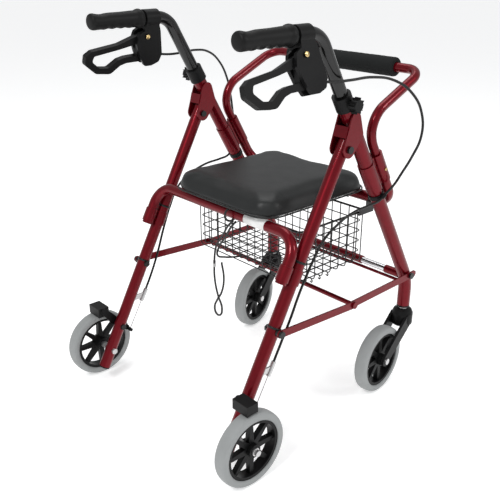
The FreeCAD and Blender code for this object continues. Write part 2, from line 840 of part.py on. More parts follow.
def seat_base():
    """The board under the pad, with clips round the front tube and feet on the rear one."""
    board = new_body("SeatBoard")
    outline = rounded_rectangle(s.seat_width - 10.0, s.seat_depth - 10.0, s.pad_corner - 5.0)
    pad(board, draw(sketch_on(board, "XY_Plane"), outline), s.base_wall)
    board.Placement = Placement(SEAT_CENTRE, Rotation())
    solids = [board]
    ring = s.seat_tube / 2 + RUN_GAP
    for sign in SIDES.values():
        x = sign * float(s.clip_spread)
        start = Vector(x - float(s.clip_width) / 2, FRONT_TUBE_LOW.y, FRONT_TUBE_LOW.z)
        hook = cylinder(ring + s.clip_wall, s.clip_width, start, X_AXIS)
        riser = Placement(Vector(x, FRONT_TUBE_LOW.y - 4.0, FRONT_TUBE_LOW.z), Rotation())
        post = box(s.clip_width, 16.0, SEAT_BASE_Z - FRONT_TUBE_LOW.z, riser)
        hole = cylinder(ring, s.clip_width + 2.0, start - X_AXIS, X_AXIS)
        mouth = Placement(Vector(x, FRONT_TUBE_LOW.y, FRONT_TUBE_LOW.z - 30.0), Rotation())
        solids.append(cut(fuse(hook, post), hole, box(s.clip_width + 2.0, 17.0, 30.0, mouth)))
        foot_height = s.seat_lift - s.rest_gap
        foot = Vector(x, REAR_TUBE_HIGH.y, SEAT_BASE_Z - float(foot_height))
        solids.append(cylinder(9.0, foot_height, foot))
    group("seat_base", *solids)


# ---------------------------------------------------------------- stays and cross bars
FRONT_STAY_X = s.front_tube / 2 + 0.5
REAR_STAY_X = FRONT_STAY_X + s.stay_wall + 0.5


def flat_bar(name, x_from, x_to, start, end, tip, holes):
    """A flat bar lying in the side view, round at both ends, with bolt holes."""
    body = new_body(name)
    ahead = (end - start).normalize()
    far = end + ahead * float(tip)
    radius = s.stay_height / 2
    outline = sketch_on(body, "XZ_Plane", x_from)
    draw_belt(outline, [(start.y, start.z, radius), (far.y, far.z, radius)])
    bar = pad(body, outline, s.stay_wall)
    bar.Reversed = x_to < x_from
    body.Placement = Placement(Vector(0, 0, 0), SIDE_VIEW)
    for point, hole in holes:
        drill(body, hole, point + X_AXIS * x_from, X_AXIS)
    return body


def stays():
    """Side stays: a front and a rear bar each side that fold upwards at the middle."""
    front, rear = [], []
    for side, sign in SIDES.items():
        x = plane_x(sign) + sign * float(FRONT_STAY_X)
        face = x + sign * float(s.stay_wall)
        bar = flat_bar(f"FrontStay_{side}", x, face, STAY_MID, STAY_FRONT, s.stay_tip, [
            (STAY_FRONT, s.bolt_radius + RUN_GAP), (STAY_MID, s.bolt_radius + s.fit_gap),
        ])
        front.append(bar)
        x = plane_x(sign) + sign * float(REAR_STAY_X)
        bar = flat_bar(f"RearStay_{side}", x, x + sign * float(s.stay_wall), STAY_REAR, STAY_MID, 0.0, [
            (STAY_REAR, s.bolt_radius + RUN_GAP), (STAY_MID, s.bolt_radius - s.bolt_radius / 4),
        ])
        face = x + sign * float(s.stay_wall)
        rivet = cylinder(s.bolt_radius - s.bolt_radius / 4 - s.fit_gap, s.stay_wall + 1.0,
                         Vector(x, STAY_MID.y, STAY_MID.z), X_AXIS * sign)
        cap_foot = Vector(face, STAY_MID.y, STAY_MID.z)
        cap = cylinder(s.head_radius, s.head_height - 1.0, cap_foot, X_AXIS * sign)
        rear += [bar, fuse(rivet, cap)]
    group("front_stays", *front)
    group("rear_stays", *rear)


def mid_cross_rod():
    """The rod between the middle pivots, which the pull cord lifts to fold the frame."""
    inner = s.leg_plane + FRONT_STAY_X
    rod = cylinder(s.mid_rod / 2, inner * 2 - 0.1, STAY_MID - X_AXIS * float(inner - 0.05), X_AXIS)
    spigot = inner + s.stay_wall + 0.2
    pin = cylinder(s.bolt_radius, spigot * 2, STAY_MID - X_AXIS * float(spigot), X_AXIS)
    keep("mid_cross_rod", fuse(rod, pin))


def cross_bars():
    """The cross bar between the front legs: two painted sleeves on a bright rod,
    with a thin rod below."""
    middle = front_leg_at_height(0, s.bar_up)
    end = s.leg_plane - s.front_tube / 2 - s.rest_gap
    parts_of = []
    for start, stop in ((-end, s.bar_chrome_start), (s.bar_chrome_end, end)):
        base = middle + X_AXIS * float(start)
        tube = cylinder(s.bar_tube / 2, stop - start, base, X_AXIS)
        bore = cylinder(s.bar_rod / 2 + s.fit_gap, stop - start, base, X_AXIS)
        parts_of.append(cut(tube, bore))
    low = middle - Z_AXIS * float(s.bar_low_drop) - Y_AXIS * 4.0
    parts_of.append(cylinder(s.bar_low_rod / 2, end * 2, low - X_AXIS * float(end), X_AXIS))
    group("cross_bar_sleeves", *parts_of)
    rod_end = end - 0.2
    keep("cross_bar_rod", cylinder(s.bar_rod / 2, rod_end * 2, middle - X_AXIS * float(rod_end), X_AXIS))


def frame_bolts():
    """Bolts that carry the stays and the brake arms."""
    front, rear = [], []
    for sign in SIDES.values():
        x = plane_x(sign)
        way = X_AXIS * sign
        inside = x - sign * (float(s.front_tube) / 2 + 0.1)
        outside = x + sign * (float(FRONT_STAY_X) + float(s.stay_wall) + 0.3)
        shank = cylinder(s.bolt_radius, abs(outside - inside), STAY_FRONT + X_AXIS * inside, way)
        head = cylinder(s.head_radius, s.head_height, STAY_FRONT + X_AXIS * outside, way)
        front.append(fuse(shank, head))
        inside = x - sign * (float(s.rear_tube) / 2 + 0.1)
        outside = x + sign * (float(REAR_STAY_X) + float(s.stay_wall) + 0.3)
        shoulder = float(REAR_STAY_X) - float(s.rear_tube) / 2 - 0.5
        beside = x + sign * (float(s.rear_tube) / 2 + 0.2)
        washer = cylinder(s.head_radius, shoulder, STAY_REAR + X_AXIS * beside, way)
        rear.append(fuse(bolt(inside, outside, STAY_REAR), washer))
        outside = x + sign * (float(s.rear_tube) / 2 + 1.0 + float(s.brake_wall) + 0.3)
        rear.append(bolt(inside, outside, BRAKE_PIVOT))
    group("front_bolts", *front)
    group("rear_bolts", *rear)


# ---------------------------------------------------------------- wheels and casters
ACROSS = Rotation(Z_AXIS, X_AXIS)


def wheel(where, side, centre, turn):
    """A moulded rim and a solid tyre on it."""
    half = float(s.tyre_width) / 2
    place = Placement(centre, turn * ACROSS)
    seat = s.tyre_seat
    shoulder = float(s.wheel_radius) - float(s.tyre_crown)
    tread = half - float(s.tyre_crown)
    tyre = turned(f"Tyre_{where}_{side}", [
        (seat, -half + 1.0), (shoulder, -half), (s.wheel_radius, -tread),
        (s.wheel_radius, tread), (shoulder, half), (seat, half - 1.0),
    ], place)
    keep(f"{where}_tyre_{side}", tyre)
    body = new_body(f"Rim_{where}_{side}")
    profile = sketch_on(body, "XZ_Plane")
    outer = seat - s.fit_gap
    inner = seat - s.rim_wall
    bore = s.bolt_radius + RUN_GAP
    for low, high, width in ((inner, outer, s.rim_width), (bore, s.hub_radius, s.hub_width)):
        end = float(width) / 2
        draw(profile, [(low, -end), (high, -end), (high, end), (low, end)])
    revolve(body, profile)
    spoke = sketch_on(body, "XY_Plane")
    root, tip = float(s.hub_radius) - 1.0, float(inner) + 1.0
    wide, narrow = float(s.spoke_root) / 2, float(s.spoke_tip) / 2
    draw(spoke, [(root, -wide), (tip, -narrow), (tip, narrow), (root, wide)])
    arm = pad(body, spoke, s.spoke_depth, both_ways=True)
    pattern = body.newObject("PartDesign::PolarPattern", "Spokes")
    pattern.Originals = [arm]
    pattern.Axis = (spoke, ["N_Axis"])
    pattern.Angle = 360.0
    pattern.Occurrences = int(s.spoke_count)
    pattern.setExpression("Occurrences", s.spoke_count.text)
    body.Tip = pattern
    body.Placement = place
    keep(f"{where}_rim_{side}", body)


def rear_axles():
    """Axles through the rear legs, with a spacer and a domed nut outside the hub."""
    solids = []
    for sign in SIDES.values():
        x = plane_x(sign)
        hub_in = sign * (float(s.rear_wheel_plane) - float(s.hub_width) / 2 - float(s.rest_gap))
        hub_out = sign * (float(s.rear_wheel_plane) + float(s.hub_width) / 2 + float(s.rest_gap))
        inside = Vector(x - sign * (float(s.rear_tube) / 2 + 0.1), AXLE.y, AXLE.z)
        outside = Vector(x + sign * (float(s.rear_tube) / 2 + 0.2), AXLE.y, AXLE.z)
        out = X_AXIS * sign
        end = Vector(hub_out, AXLE.y, AXLE.z)
        shaft = cylinder(s.bolt_radius, (end - inside).Length + 2.0, inside, out)
        spacer = cylinder(s.head_radius, abs(hub_in - outside.x), outside, out)
        nut = prism(6, s.head_radius, s.head_height, inside - out * float(s.head_height), out)
        collar = cylinder(s.head_radius + 1.0, s.head_height / 2, end, out)
        dome = cylinder(s.head_radius - 1.0, s.head_height * 2, end, out)
        solids.append(fuse(shaft, spacer, nut, collar, dome))
    group("rear_axles", *solids)


def stem_bushes():
    """Bushes in the feet of the front legs for the caster stems."""
    solids = []
    up = float(s.stem_up)
    stem_top = up + float(s.stem_length) - 4.0
    for side, sign in SIDES.items():
        base = side_point(plane_x(sign), s.stem_fwd, 0)
        bore, plug = s.stem_radius + RUN_GAP, s.front_bore / 2 - s.fit_gap
        solids.append(turned(f"StemBush_{side}", [
            (bore, up - 4.0), (s.front_tube / 2, up - 4.0), (s.front_tube / 2, up - 0.1),
            (plug, up - 0.1), (plug, stem_top), (bore, stem_top),
        ], Placement(base, Rotation())))
    group("stem_bushes", *solids)


def caster(side, sign, yaw):
    """The caster fork, its stem with a washer, and its axle; turned about the stem."""
    turn = Rotation(Z_AXIS, float(yaw))
    foot = side_point(plane_x(sign), s.stem_fwd, 0)
    place = Placement(foot, turn)
    inner = s.crown_radius - 1.5 - s.fork_wall
    body = new_body(f"CasterFork_{side}")
    crown = float(s.crown_radius)
    top = float(s.crown_top)
    profile = draw(sketch_on(body, "XZ_Plane"), [
        (0, s.crown_foot), (crown - 2.0, s.crown_foot), (crown, float(s.crown_foot) + 3.0),
        (crown, top - 12.0), (crown - 3.5, top - 4.0), (crown - 10.0, top), (0, top),
    ])
    revolve(body, profile)
    axle = (-float(s.trail), float(s.wheel_radius))
    for direction in (1, -1):
        cheek = sketch_on(body, "YZ_Plane", direction * float(inner))
        draw_belt(cheek, [
            (axle[0], axle[1], 12.0), (-2.0, top - 22.0, 15.0),
        ])
        pad(body, cheek, s.fork_wall).Reversed = direction < 0
    body.Placement = place
    drill(body, s.bolt_radius + s.fit_gap, place.multVec(Vector(0, *axle)), turn.multVec(X_AXIS))
    drill(body, s.stem_radius + s.fit_gap, foot + Z_AXIS * (float(s.crown_foot) + 12.0), Z_AXIS, back=0.0)
    keep(f"caster_fork_{side}", body)

    base = foot + Z_AXIS * (float(s.crown_foot) + 12.2)
    stem = cylinder(s.stem_radius, s.crown_top - s.crown_foot - 12.2 + s.stem_length, base)
    washer = cylinder(s.stem_radius + 5.0, 3.3, foot + Z_AXIS * (top + 0.3))
    across = turn.multVec(X_AXIS)
    half = crown - 1.5 + 0.2
    centre = place.multVec(Vector(0, *axle))
    shaft = cylinder(s.bolt_radius, half * 2, centre - across * half, across)
    head = cylinder(s.head_radius, 3.5, centre + across * half, across)
    nut = prism(6, s.head_radius, s.head_height, centre - across * (half + float(s.head_height)), across)
    gap = float(inner) - float(s.hub_width) / 2 - 2 * float(s.rest_gap)
    spacers = [
        cylinder(s.head_radius, gap, centre + across * start, across)
        for start in (float(s.hub_width) / 2 + float(s.rest_gap), -float(inner) + float(s.rest_gap))
    ]
    group(f"caster_stem_{side}", fuse(stem, washer), fuse(shaft, head, nut, *spacers))
    wheel("front", side, centre, turn)


# ---------------------------------------------------------------- brakes
def brake_arm(side, sign):
    """The brake arm: a lever plate on the rear leg that carries the shoe."""
    x = plane_x(sign) + sign * (float(s.rear_tube) / 2 + 1.0)
    pivot, end = BRAKE_PIVOT, side_point(0, 55.0, 106.0)
    shoe = side_point(0, -1.0, s.wheel_radius * 2 + 15.0)
    plate = new_body(f"BrakeArm_{side}")
    outline = sketch_on(plate, "XZ_Plane", x)
    draw_belt(outline, [(shoe.y, shoe.z, 7.0), (pivot.y, pivot.z, 9.0), (pivot.y + 2.0, pivot.z + 1.0, 9.0)])
    pad(plate, outline, s.brake_wall).Reversed = sign < 0
    tail = sketch_on(plate, "XZ_Plane", x)
    draw_belt(tail, [(pivot.y, pivot.z, 9.0), (end.y, end.z, 6.0)])
    pad(plate, tail, s.brake_wall).Reversed = sign < 0
    plate.Placement = Placement(Vector(0, 0, 0), SIDE_VIEW)
    drill(plate, s.bolt_radius + RUN_GAP, pivot + X_AXIS * x, X_AXIS)
    pin_end = sign * (float(s.leg_plane) - 4.0)
    pin = cylinder(4.0, abs(x - pin_end) + 2.0, Vector(x + sign * 2.0, end.y, end.z), -X_AXIS * sign)
    block_x = x + sign * (2.0 + float(s.shoe_reach) / 2)
    block_foot = Vector(block_x, shoe.y, AXLE.z + float(s.wheel_radius) + 1.0)
    block = box(s.shoe_reach, s.shoe_length, s.shoe_height, Placement(block_foot, Rotation()))
    beside = Vector(x + sign * (float(s.brake_wall) + 0.5), AXLE.y, AXLE.z)
    around = cylinder(s.wheel_radius + s.shoe_gap, 60.0, beside, X_AXIS * sign)
    keep(f"brake_arm_{side}", cut(fuse(plate, pin, block), around))


STOP = side_point(0, 97.0, 182.0)
WIRE_END = side_point(0, 55.0, 111.0)


def cable_stops():
    """Stops on the rear legs that hold the ends of the cable sleeves."""
    solids = []
    aim = (WIRE_END - STOP).normalize()
    for sign in SIDES.values():
        x = X_AXIS * plane_x(sign)
        barrel = cylinder(5.0, 30.0, STOP + x - aim * 15.0, aim)
        bore = cylinder(s.cable_radius + 0.6, 14.5, STOP + x - aim * 15.1, aim)
        small = cylinder(s.wire_radius + 0.4, 40.0, STOP + x - aim * 15.0, aim)
        leg = rear_leg_at_height(plane_x(sign), STOP.z)
        reach = STOP.y - leg.y
        plate = box(3.0, reach, 12.0, Placement(Vector(x.x, leg.y + reach / 2, STOP.z - 6.0), Rotation()))
        around = cylinder(s.rear_tube / 2 + s.fit_gap, 80.0, leg - UP_REAR * 40.0, UP_REAR)
        solids.append(cut(fuse(barrel, plate), around, bore, small))
    group("cable_stops", *solids)


def brake_wires():
    """The bare inner wires between the stops and the brake arms."""
    solids = []
    aim = (WIRE_END - STOP).normalize()
    for sign in SIDES.values():
        x = X_AXIS * plane_x(sign)
        start = STOP + x - aim * 1.0
        solids.append(cylinder(s.wire_radius, (WIRE_END + x - start).Length - 1.0, start, aim))
    group("brake_wires", *solids)


# ---------------------------------------------------------------- handles
GRIP_POINT = {side: side_point(sign * s.leg_plane, 0, s.grip_up) for side, sign in SIDES.items()}


def handle_tube(side, sign):
    """The telescoping handle tube, bent back into the grip."""
    low = LEG_TOP - s.handle_inside
    foot = on_front_leg(plane_x(sign), low)
    corner = front_leg_at_height(plane_x(sign), s.grip_up)
    rise = (corner - foot).Length
    back = corner.y - (GRIP_POINT[side].y + float(s.grip_start) + 4.0)
    corners = [
        (0, 0), (0, rise, s.handle_bend),
        (-back * math.cos(LEAN), rise + back * math.sin(LEAN)),
    ]
    outside = s.front_bore - s.fit_gap * 2
    place = Placement(foot, Rotation(X_AXIS, float(s.front_lean)) * SIDE_VIEW)
    body = bent_tube(f"HandleTube_{side}", corners, outside, place)
    drill(body, outside / 2 - 1.5, foot, UP_FRONT, back=1.0, depth=rise - s.handle_bend)
    keep(f"handle_tube_{side}", body)


def grip(side):
    """The moulded grip: finger ridges and a flange at its front."""
    bore = s.front_bore / 2
    r = float(s.grip_radius)
    long = float(s.grip_length)
    flange = float(s.grip_flange)
    base = GRIP_POINT[side] + Y_AXIS * float(s.grip_start)
    profile = [
        (0, 0), (r - 3.0, 0), (r + 1.0, 4.0), (r + 1.0, 14.0), (r - 0.5, 26.0), (r, long - 22.0),
        (r + 1.5, long - 10.0), (flange, long), (flange, long + 5.0), (r + 1.0, long + 10.0),
        (bore, long + 10.0), (bore, 3.6), (0, 3.6),
    ]
    keep(f"grip_{side}", turned(f"Grip_{side}", profile, along(base, Y_AXIS)))


def brake_housing(side, sign):
    """The clamp on the handle tube and the housing that carries the lever."""
    place = Placement(GRIP_POINT[side], Rotation(Y_AXIS, -sign * float(s.lever_tilt)) * SIDE_VIEW)
    ring = s.front_bore / 2
    start = GRIP_POINT[side] + Y_AXIS * float(s.clamp_fwd)
    clamp = cylinder(ring + s.clamp_wall, s.clamp_length, start, Y_AXIS)
    body = new_body(f"BrakeHousing_{side}")
    outline = [
        (138, -10), (171, -10), (176, -24, 8), (181, -50, 20), (186, -74, 5), (180, -90, 7),
        (162, -97, 7), (145, -97, 6), (131, -75, 12), (120, -48, 8), (125, -28, 6), (138, -21),
    ]
    pad(body, draw(sketch_on(body, "XZ_Plane"), outline), s.housing_width, both_ways=True)
    slot = [(90, -20), (156, -20), (158, -92), (150, -110), (90, -110)]
    pocket(body, draw(sketch_on(body, "XZ_Plane"), slot), s.lever_width + 1.0, both_ways=True)
    body.Placement = place
    pivot = place.multVec(Vector(float(s.lever_fwd), 0, -float(s.lever_drop)))
    across = place.Rotation.multVec(Y_AXIS)
    half = float(s.housing_width) / 2
    pin = cylinder(3.0, half * 2 + 5.0, pivot - across * (half + 2.5), across)
    through = cylinder(ring, 60.0, start - Y_AXIS * 20.0, Y_AXIS)
    exit_hole = place.multVec(Vector(183, 0, -78))
    aim = place.Rotation.multVec(Vector(0.9, 0, -0.1)).normalize()
    boot = cylinder(s.cable_radius + 2.0, 10.0, exit_hole - aim * 3.0, aim)
    bore = cylinder(s.cable_radius + 0.6, 14.0, exit_hole - aim * 5.0, aim)
    keep(f"brake_housing_{side}", cut(fuse(cut(fuse(clamp, body), through), pin, boot), bore))


def brake_lever(side, sign):
    """The closed loop lever, pulled up to brake."""
    body = new_body(f"BrakeLever_{side}")
    outer = [
        (150, -22, 5), (124, -34, 12), (82, -49, 25), (22, -58, 7), (9, -67, 4), (8, -84, 8), (34, -105, 12),
        (68, -109, 14), (90, -93, 14), (104, -89, 10), (136, -88, 8), (152, -80, 4),
    ]
    inner = [
        (128, -50, 3), (84, -59, 20), (28, -68, 4), (24, -79, 6), (42, -94, 8), (62, -96, 10),
        (84, -81, 12), (100, -77, 8), (128, -75, 3),
    ]
    profile = sketch_on(body, "XZ_Plane")
    draw(profile, outer)
    draw(profile, inner)
    draw_circle(profile, s.bolt_radius - 1.0 + RUN_GAP, s.lever_fwd, -s.lever_drop)
    pad(body, profile, s.lever_width, both_ways=True)
    body.Placement = Placement(GRIP_POINT[side], Rotation(Y_AXIS, -sign * float(s.lever_tilt)) * SIDE_VIEW)
    keep(f"brake_lever_{side}", body)


# ---------------------------------------------------------------- basket
def wire(start, end, radius):
    """A straight eight-sided wire with its flats square to the axes."""
    run = Vector(*end) - Vector(*start)
    across = Vector(run.y, run.z, run.x).normalize()
    other = run.cross(across).normalize()
    reach = float(radius) / math.cos(math.pi / 8)
    corners = []
    for i in range(8):
        angle = (i + 0.5) * math.pi / 4
        spoke = across * math.cos(angle) + other * math.sin(angle)
        corners.append(Vector(*start) + spoke * reach)
    outline = Part.Face(Part.makePolygon(corners + corners[:1]))
    return outline.extrude(run)


def grille(*wires):
    """Straight wires welded into one flat grille."""
    return feature_of("Grille", wires[0].multiFuse(list(wires[1:])).removeSplitter())


def basket():
    """The wire basket: a floor and four walls, each a flat grille under its piece of the thick rim."""
    half, thin, thick = float(s.basket_width) / 2, float(s.mesh_wire) / 2, float(s.rim_wire) / 2
    rear, front = side_point(0, s.basket_rear, 0).y, side_point(0, s.basket_rear + s.basket_depth, 0).y
    top, low = float(s.basket_top), float(s.basket_top - s.basket_height)
    weld = 0.3
    lap, reach, butt = 2 * thin - weld, thin + thick - weld, thin + 0.05
    hoops = int(s.hoop_count)
    heights = [low + lap + (top - low - lap) * i / (hoops + 1) for i in range(1, hoops + 1)]
    rows = round(float(s.basket_depth / s.mesh_step))
    forward = [rear + (front - rear) * i / rows for i in range(rows + 1)]
    columns = int(half / float(s.mesh_step))
    across = [i * float(s.mesh_step) for i in range(-columns, columns + 1)]
    grilles = []
    for sign in SIDES.values():
        x, inner, rim = sign * half, sign * (half - lap), sign * (half + reach)
        bars = [wire((rim, rear - reach, top), (rim, front + reach, top), thick)]
        bars += [wire((x, y, low - thin), (x, y, top), thin) for y in forward]
        bars += [wire((inner, rear + butt, z), (inner, front - butt, z), thin) for z in heights]
        grilles.append(grille(*bars))
    for y, inward in ((rear, 1), (front, -1)):
        inner, rim = y + inward * lap, y + inward * (lap - reach)
        bars = [wire((butt - half, rim, top), (half - butt, rim, top), thick)]
        bars += [wire((x, inner, low - thin), (x, inner, top), thin) for x in across]
        bars += [wire((butt - half, y, z), (half - butt, y, z), thin) for z in [low] + heights]
        grilles.append(grille(*bars))
    bars = [wire((butt - half, y, low), (half - butt, y, low), thin) for y in forward[1:-1]]
    ends = rear + lap + butt, front - lap - butt
    bars += [wire((x, ends[0], low + lap), (x, ends[1], low + lap), thin) for x in across]
    grilles.append(grille(*bars))
    group("basket_wires", *grilles)


def basket_hangers():
    """Plates hung from the front seat tube; the basket slides on their lips."""
    solids = []
    low = float(s.basket_top - s.rim_wire / 2) - 0.5
    for sign in SIDES.values():
        face = sign * (float(s.basket_width) / 2 + 10.0)
        outer = Vector(face, FRONT_TUBE_LOW.y, FRONT_TUBE_LOW.z)
        inward = -X_AXIS * sign
        eye = cylinder(s.seat_tube / 2 + s.fit_gap + 2.5, 6.5, outer, inward)
        hole = cylinder(s.seat_tube / 2 + s.fit_gap, 10.0, outer - inward, inward)
        web_x = face - sign * float(s.hanger_wall) / 2
        middle = FRONT_TUBE_LOW.y - float(s.hanger_length) / 2
        web = box(s.hanger_wall, s.hanger_length, 14.0, Placement(
            Vector(web_x, middle, low - float(s.hanger_wall)), Rotation()
        ))
        drop = box(s.hanger_wall, 24.0, FRONT_TUBE_LOW.z - low, Placement(
            Vector(web_x, FRONT_TUBE_LOW.y - 12.0, low), Rotation()
        ))
        lip = box(6.5, s.hanger_length, s.hanger_wall, Placement(
            Vector(face - sign * 3.25, middle, low - float(s.hanger_wall)), Rotation()
        ))
        solids.append(cut(fuse(eye, web, drop, lip), hole))
    group("basket_hangers", *solids)


# ---------------------------------------------------------------- cables and cord
def mirrored(points, sign):
    return [side_point(sign * x, y, z) for x, y, z in points]


def cables():
    """The brake cables, whole from the housings to the stops on the rear legs."""
    upper = [
        (233.9, 180.5, 714.2), (235, 210, 710), (240, 250, 709), (250, 300, 710), (262, 346, 701),
        (274, 387, 675), (280, 415, 635), (277, 425, 588), (263, 420, 545), (248, 414, 512),
        (238, 405, 487), (231.4, 384.7, 467.8),
    ]
    lower = [
        (231, 383.4, 466.4), (229.4, 372.7, 459.1), (227.3, 346, 455.6), (226, 300, 452),
        (225.6, 256, 438.5), (224.6, 216, 414), (221.5, 186, 368), (218, 165, 324), (215, 143, 271), (213, 122, 228),
        (212.5, 98.3, 184.2),
    ]
    lower_cables = []
    for side, sign in SIDES.items():
        keep(f"upper_cable_{side}", cord(f"UpperCable_{side}", mirrored(upper, sign), s.cable_radius))
        lower_cables.append(cord(f"LowerCable_{side}", mirrored(lower, sign), s.cable_radius))
    group("lower_cables", *lower_cables)


def cable_clips():
    """Clips on the front legs that hold the cables."""
    solids = []
    for sign in SIDES.values():
        leg = front_leg_at_height(plane_x(sign), 467.0)
        base = leg - UP_FRONT * 5.0
        eye = Vector(sign * 231.2, side_point(0, 384, 0).y, 467.0)
        band = cylinder(s.front_tube / 2 + 1.6, 10.0, base, UP_FRONT)
        aim = Vector(-sign * 0.16, -0.76, -0.62).normalize()
        lug = cylinder(s.cable_radius + 1.8, 9.0, eye - aim * 4.5, aim)
        around = cylinder(s.front_tube / 2 + s.fit_gap, 30.0, base - UP_FRONT * 10.0, UP_FRONT)
        bore = cylinder(s.cable_radius + 0.8, 30.0, eye - aim * 15.0, aim)
        solids.append(cut(fuse(band, lug), around, bore))
    group("cable_clips", *solids)


def pull_cord():
    """The cord that lifts the middle of the stays, looped round the rear seat tube,
    with its loose end hanging in a long loop."""
    tube = s.seat_tube / 2 + 0.2
    ring = doc.addObject("Part::Torus", "CordRing")
    bind(ring, Radius1=tube + s.cable_radius, Radius2=s.cable_radius)
    ring.Placement = along(Vector(37, REAR_TUBE_HIGH.y, REAR_TUBE_HIGH.z), X_AXIS)
    up = [(38, 163, 414.6), (20, 167, 398), (-12, 182, 368), (-44, 198, 340), (-74, 211, 312)]
    under = [(-90, 220, 284), (-99, 250, 268), (-101, 276, 260), (-101, 302.5, 255)]
    loose = [(33, 160, 415.5), (15, 163, 400), (-17, 178, 370), (-49, 193, 342), (-77, 204, 310)]
    loop = [
        (-84, 205, 270), (-82, 204, 232), (-72, 204, 196), (-60, 205, 168), (-66, 205, 148), (-82, 206, 146),
        (-88, 207, 160), (-80, 208, 180), (-66, 210, 204), (-60, 212, 240), (-68, 213, 276),
    ]
    strands = [
        cord("PullCord", mirrored(up + under, 1), s.cable_radius),
        cord("PullCordLoop", mirrored(loose + loop, 1), s.cable_radius * 0.9),
    ]
    group("pull_cord", ring, *strands)


# ---------------------------------------------------------------- the whole walker
for side, sign in SIDES.items():
    front_leg(side, sign)
    rear_leg(side, sign)
    knob(side, sign)
    snap_button(side, sign)
    handle_tube(side, sign)
    grip(side)
    brake_housing(side, sign)
    brake_lever(side, sign)
    brake_arm(side, sign)
    caster(side, sign, s.left_yaw if side == "left" else s.right_yaw)
    wheel("rear", side, Vector(sign * float(s.rear_wheel_plane), AXLE.y, AXLE.z), Rotation())
rear_leg_plugs()
leg_collars()
hinge_brackets()
pivot_bolts()
sleeves()
seat_tubes()
backrest()
backrest_foam()
seat_pad()
seat_base()
stays()
mid_cross_rod()
cross_bars()
frame_bolts()
rear_axles()
stem_bushes()
cable_stops()
brake_wires()
basket()
basket_hangers()
cables()
cable_clips()
pull_cord()
doc.recompute()

for obj in doc.Objects:
    if "Invalid" in obj.State or "Error" in obj.State:
        raise RuntimeError(f"{obj.Label} did not build: {obj.State}")
for label, obj in parts.items():
    if obj.Shape.isNull() or not obj.Shape.isValid() or not obj.Shape.Solids:
        raise RuntimeError(f"{label} has no valid solid")

os.makedirs("parts", exist_ok=True)
for label, obj in parts.items():
    obj.Shape.exportStep(f"parts/{label}.step")
print(f"{len(parts)} sub-parts written")
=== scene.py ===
# %% [markdown]
# # A rollator walker
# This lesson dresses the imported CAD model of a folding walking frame.  The rigid pieces come
# from the CAD file.  The padded seat, the foam bar, the grips, the tyres, the wire basket and
# the cables are made here, because Blender suits soft, turned and wiry things better.
# Lengths are written in millimetres: across, forward of the rear axle, and up.

# %% Load the frame
import json
import math

import bmesh
import bpy
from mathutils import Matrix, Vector


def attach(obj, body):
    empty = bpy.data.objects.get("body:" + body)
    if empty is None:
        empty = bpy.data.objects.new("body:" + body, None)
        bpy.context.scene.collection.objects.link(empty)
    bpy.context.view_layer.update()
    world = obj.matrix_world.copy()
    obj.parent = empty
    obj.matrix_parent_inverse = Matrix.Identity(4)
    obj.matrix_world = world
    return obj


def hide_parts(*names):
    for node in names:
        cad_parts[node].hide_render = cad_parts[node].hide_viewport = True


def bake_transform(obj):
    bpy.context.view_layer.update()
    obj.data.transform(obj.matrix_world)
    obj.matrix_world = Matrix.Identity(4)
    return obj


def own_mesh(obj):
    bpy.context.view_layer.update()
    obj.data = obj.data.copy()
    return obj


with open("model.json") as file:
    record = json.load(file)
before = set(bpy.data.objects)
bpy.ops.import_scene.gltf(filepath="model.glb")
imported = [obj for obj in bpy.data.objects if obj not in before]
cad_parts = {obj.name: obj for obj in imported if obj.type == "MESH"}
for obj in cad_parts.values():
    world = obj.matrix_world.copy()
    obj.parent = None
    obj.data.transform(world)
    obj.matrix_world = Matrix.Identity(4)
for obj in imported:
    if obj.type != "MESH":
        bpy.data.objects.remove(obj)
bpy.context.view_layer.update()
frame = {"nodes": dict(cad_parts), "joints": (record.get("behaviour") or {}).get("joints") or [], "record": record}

AXLE_FORWARD = 230.5   # from the rear axle to the origin of the frame
AXLE_UP = 76.0         # the radius of a wheel
LEG_PLANE = 212.5      # from the middle to the side frames
SIDES = {"left": -1, "right": 1}
nodes = frame["nodes"]


def at(across, forward, up):
    """A point in metres from its place in millimetres."""
    return Vector((across, forward - AXLE_FORWARD, up)) / 1000


print("pieces in the frame:", len(nodes))

# %% [markdown]
# ## The camera
# A product view is taken with a longish lens, so that near wheels don't look swollen.  The
# camera stands behind and to the right of the user, a little above the handles, and looks
# down.  It goes in first, so that every later piece can be judged through it.

# %% Camera
camera_data = bpy.data.cameras.new("Product view")
camera_data.lens = 50.75
camera_data.sensor_width = 36.0
camera = bpy.data.objects.new("Product view", camera_data)
bpy.context.collection.objects.link(camera)
camera.location = at(1034.0, -704.4, 913.9)
camera.rotation_euler = (math.radians(67.0), 0.0, math.radians(47.7))
bpy.context.scene.camera = camera
print("camera at", tuple(round(v, 3) for v in camera.location))

# %% [markdown]
# ## Shared surface effects
# Moulded plastic, foam and vinyl have a fine bumpy skin, the grain.  Paint, rubber and metal
# change a little in colour and gloss from place to place, the drift.  Each could be wired anew
# in every material, but a node group is built once, with named inputs, and is easier to tune.

# %% A new group, and the grain
def new_group(name, inputs, outputs):
    """An empty shader node group with the given sockets."""
    group = bpy.data.node_groups.new(name, "ShaderNodeTree")
    for title, kind, value in inputs:
        socket = group.interface.new_socket(title, in_out="INPUT", socket_type=kind)
        socket.default_value = value
    for title, kind in outputs:
        group.interface.new_socket(title, in_out="OUTPUT", socket_type=kind)
    start = group.nodes.new("NodeGroupInput")
    end = group.nodes.new("NodeGroupOutput")
    return group, start, end


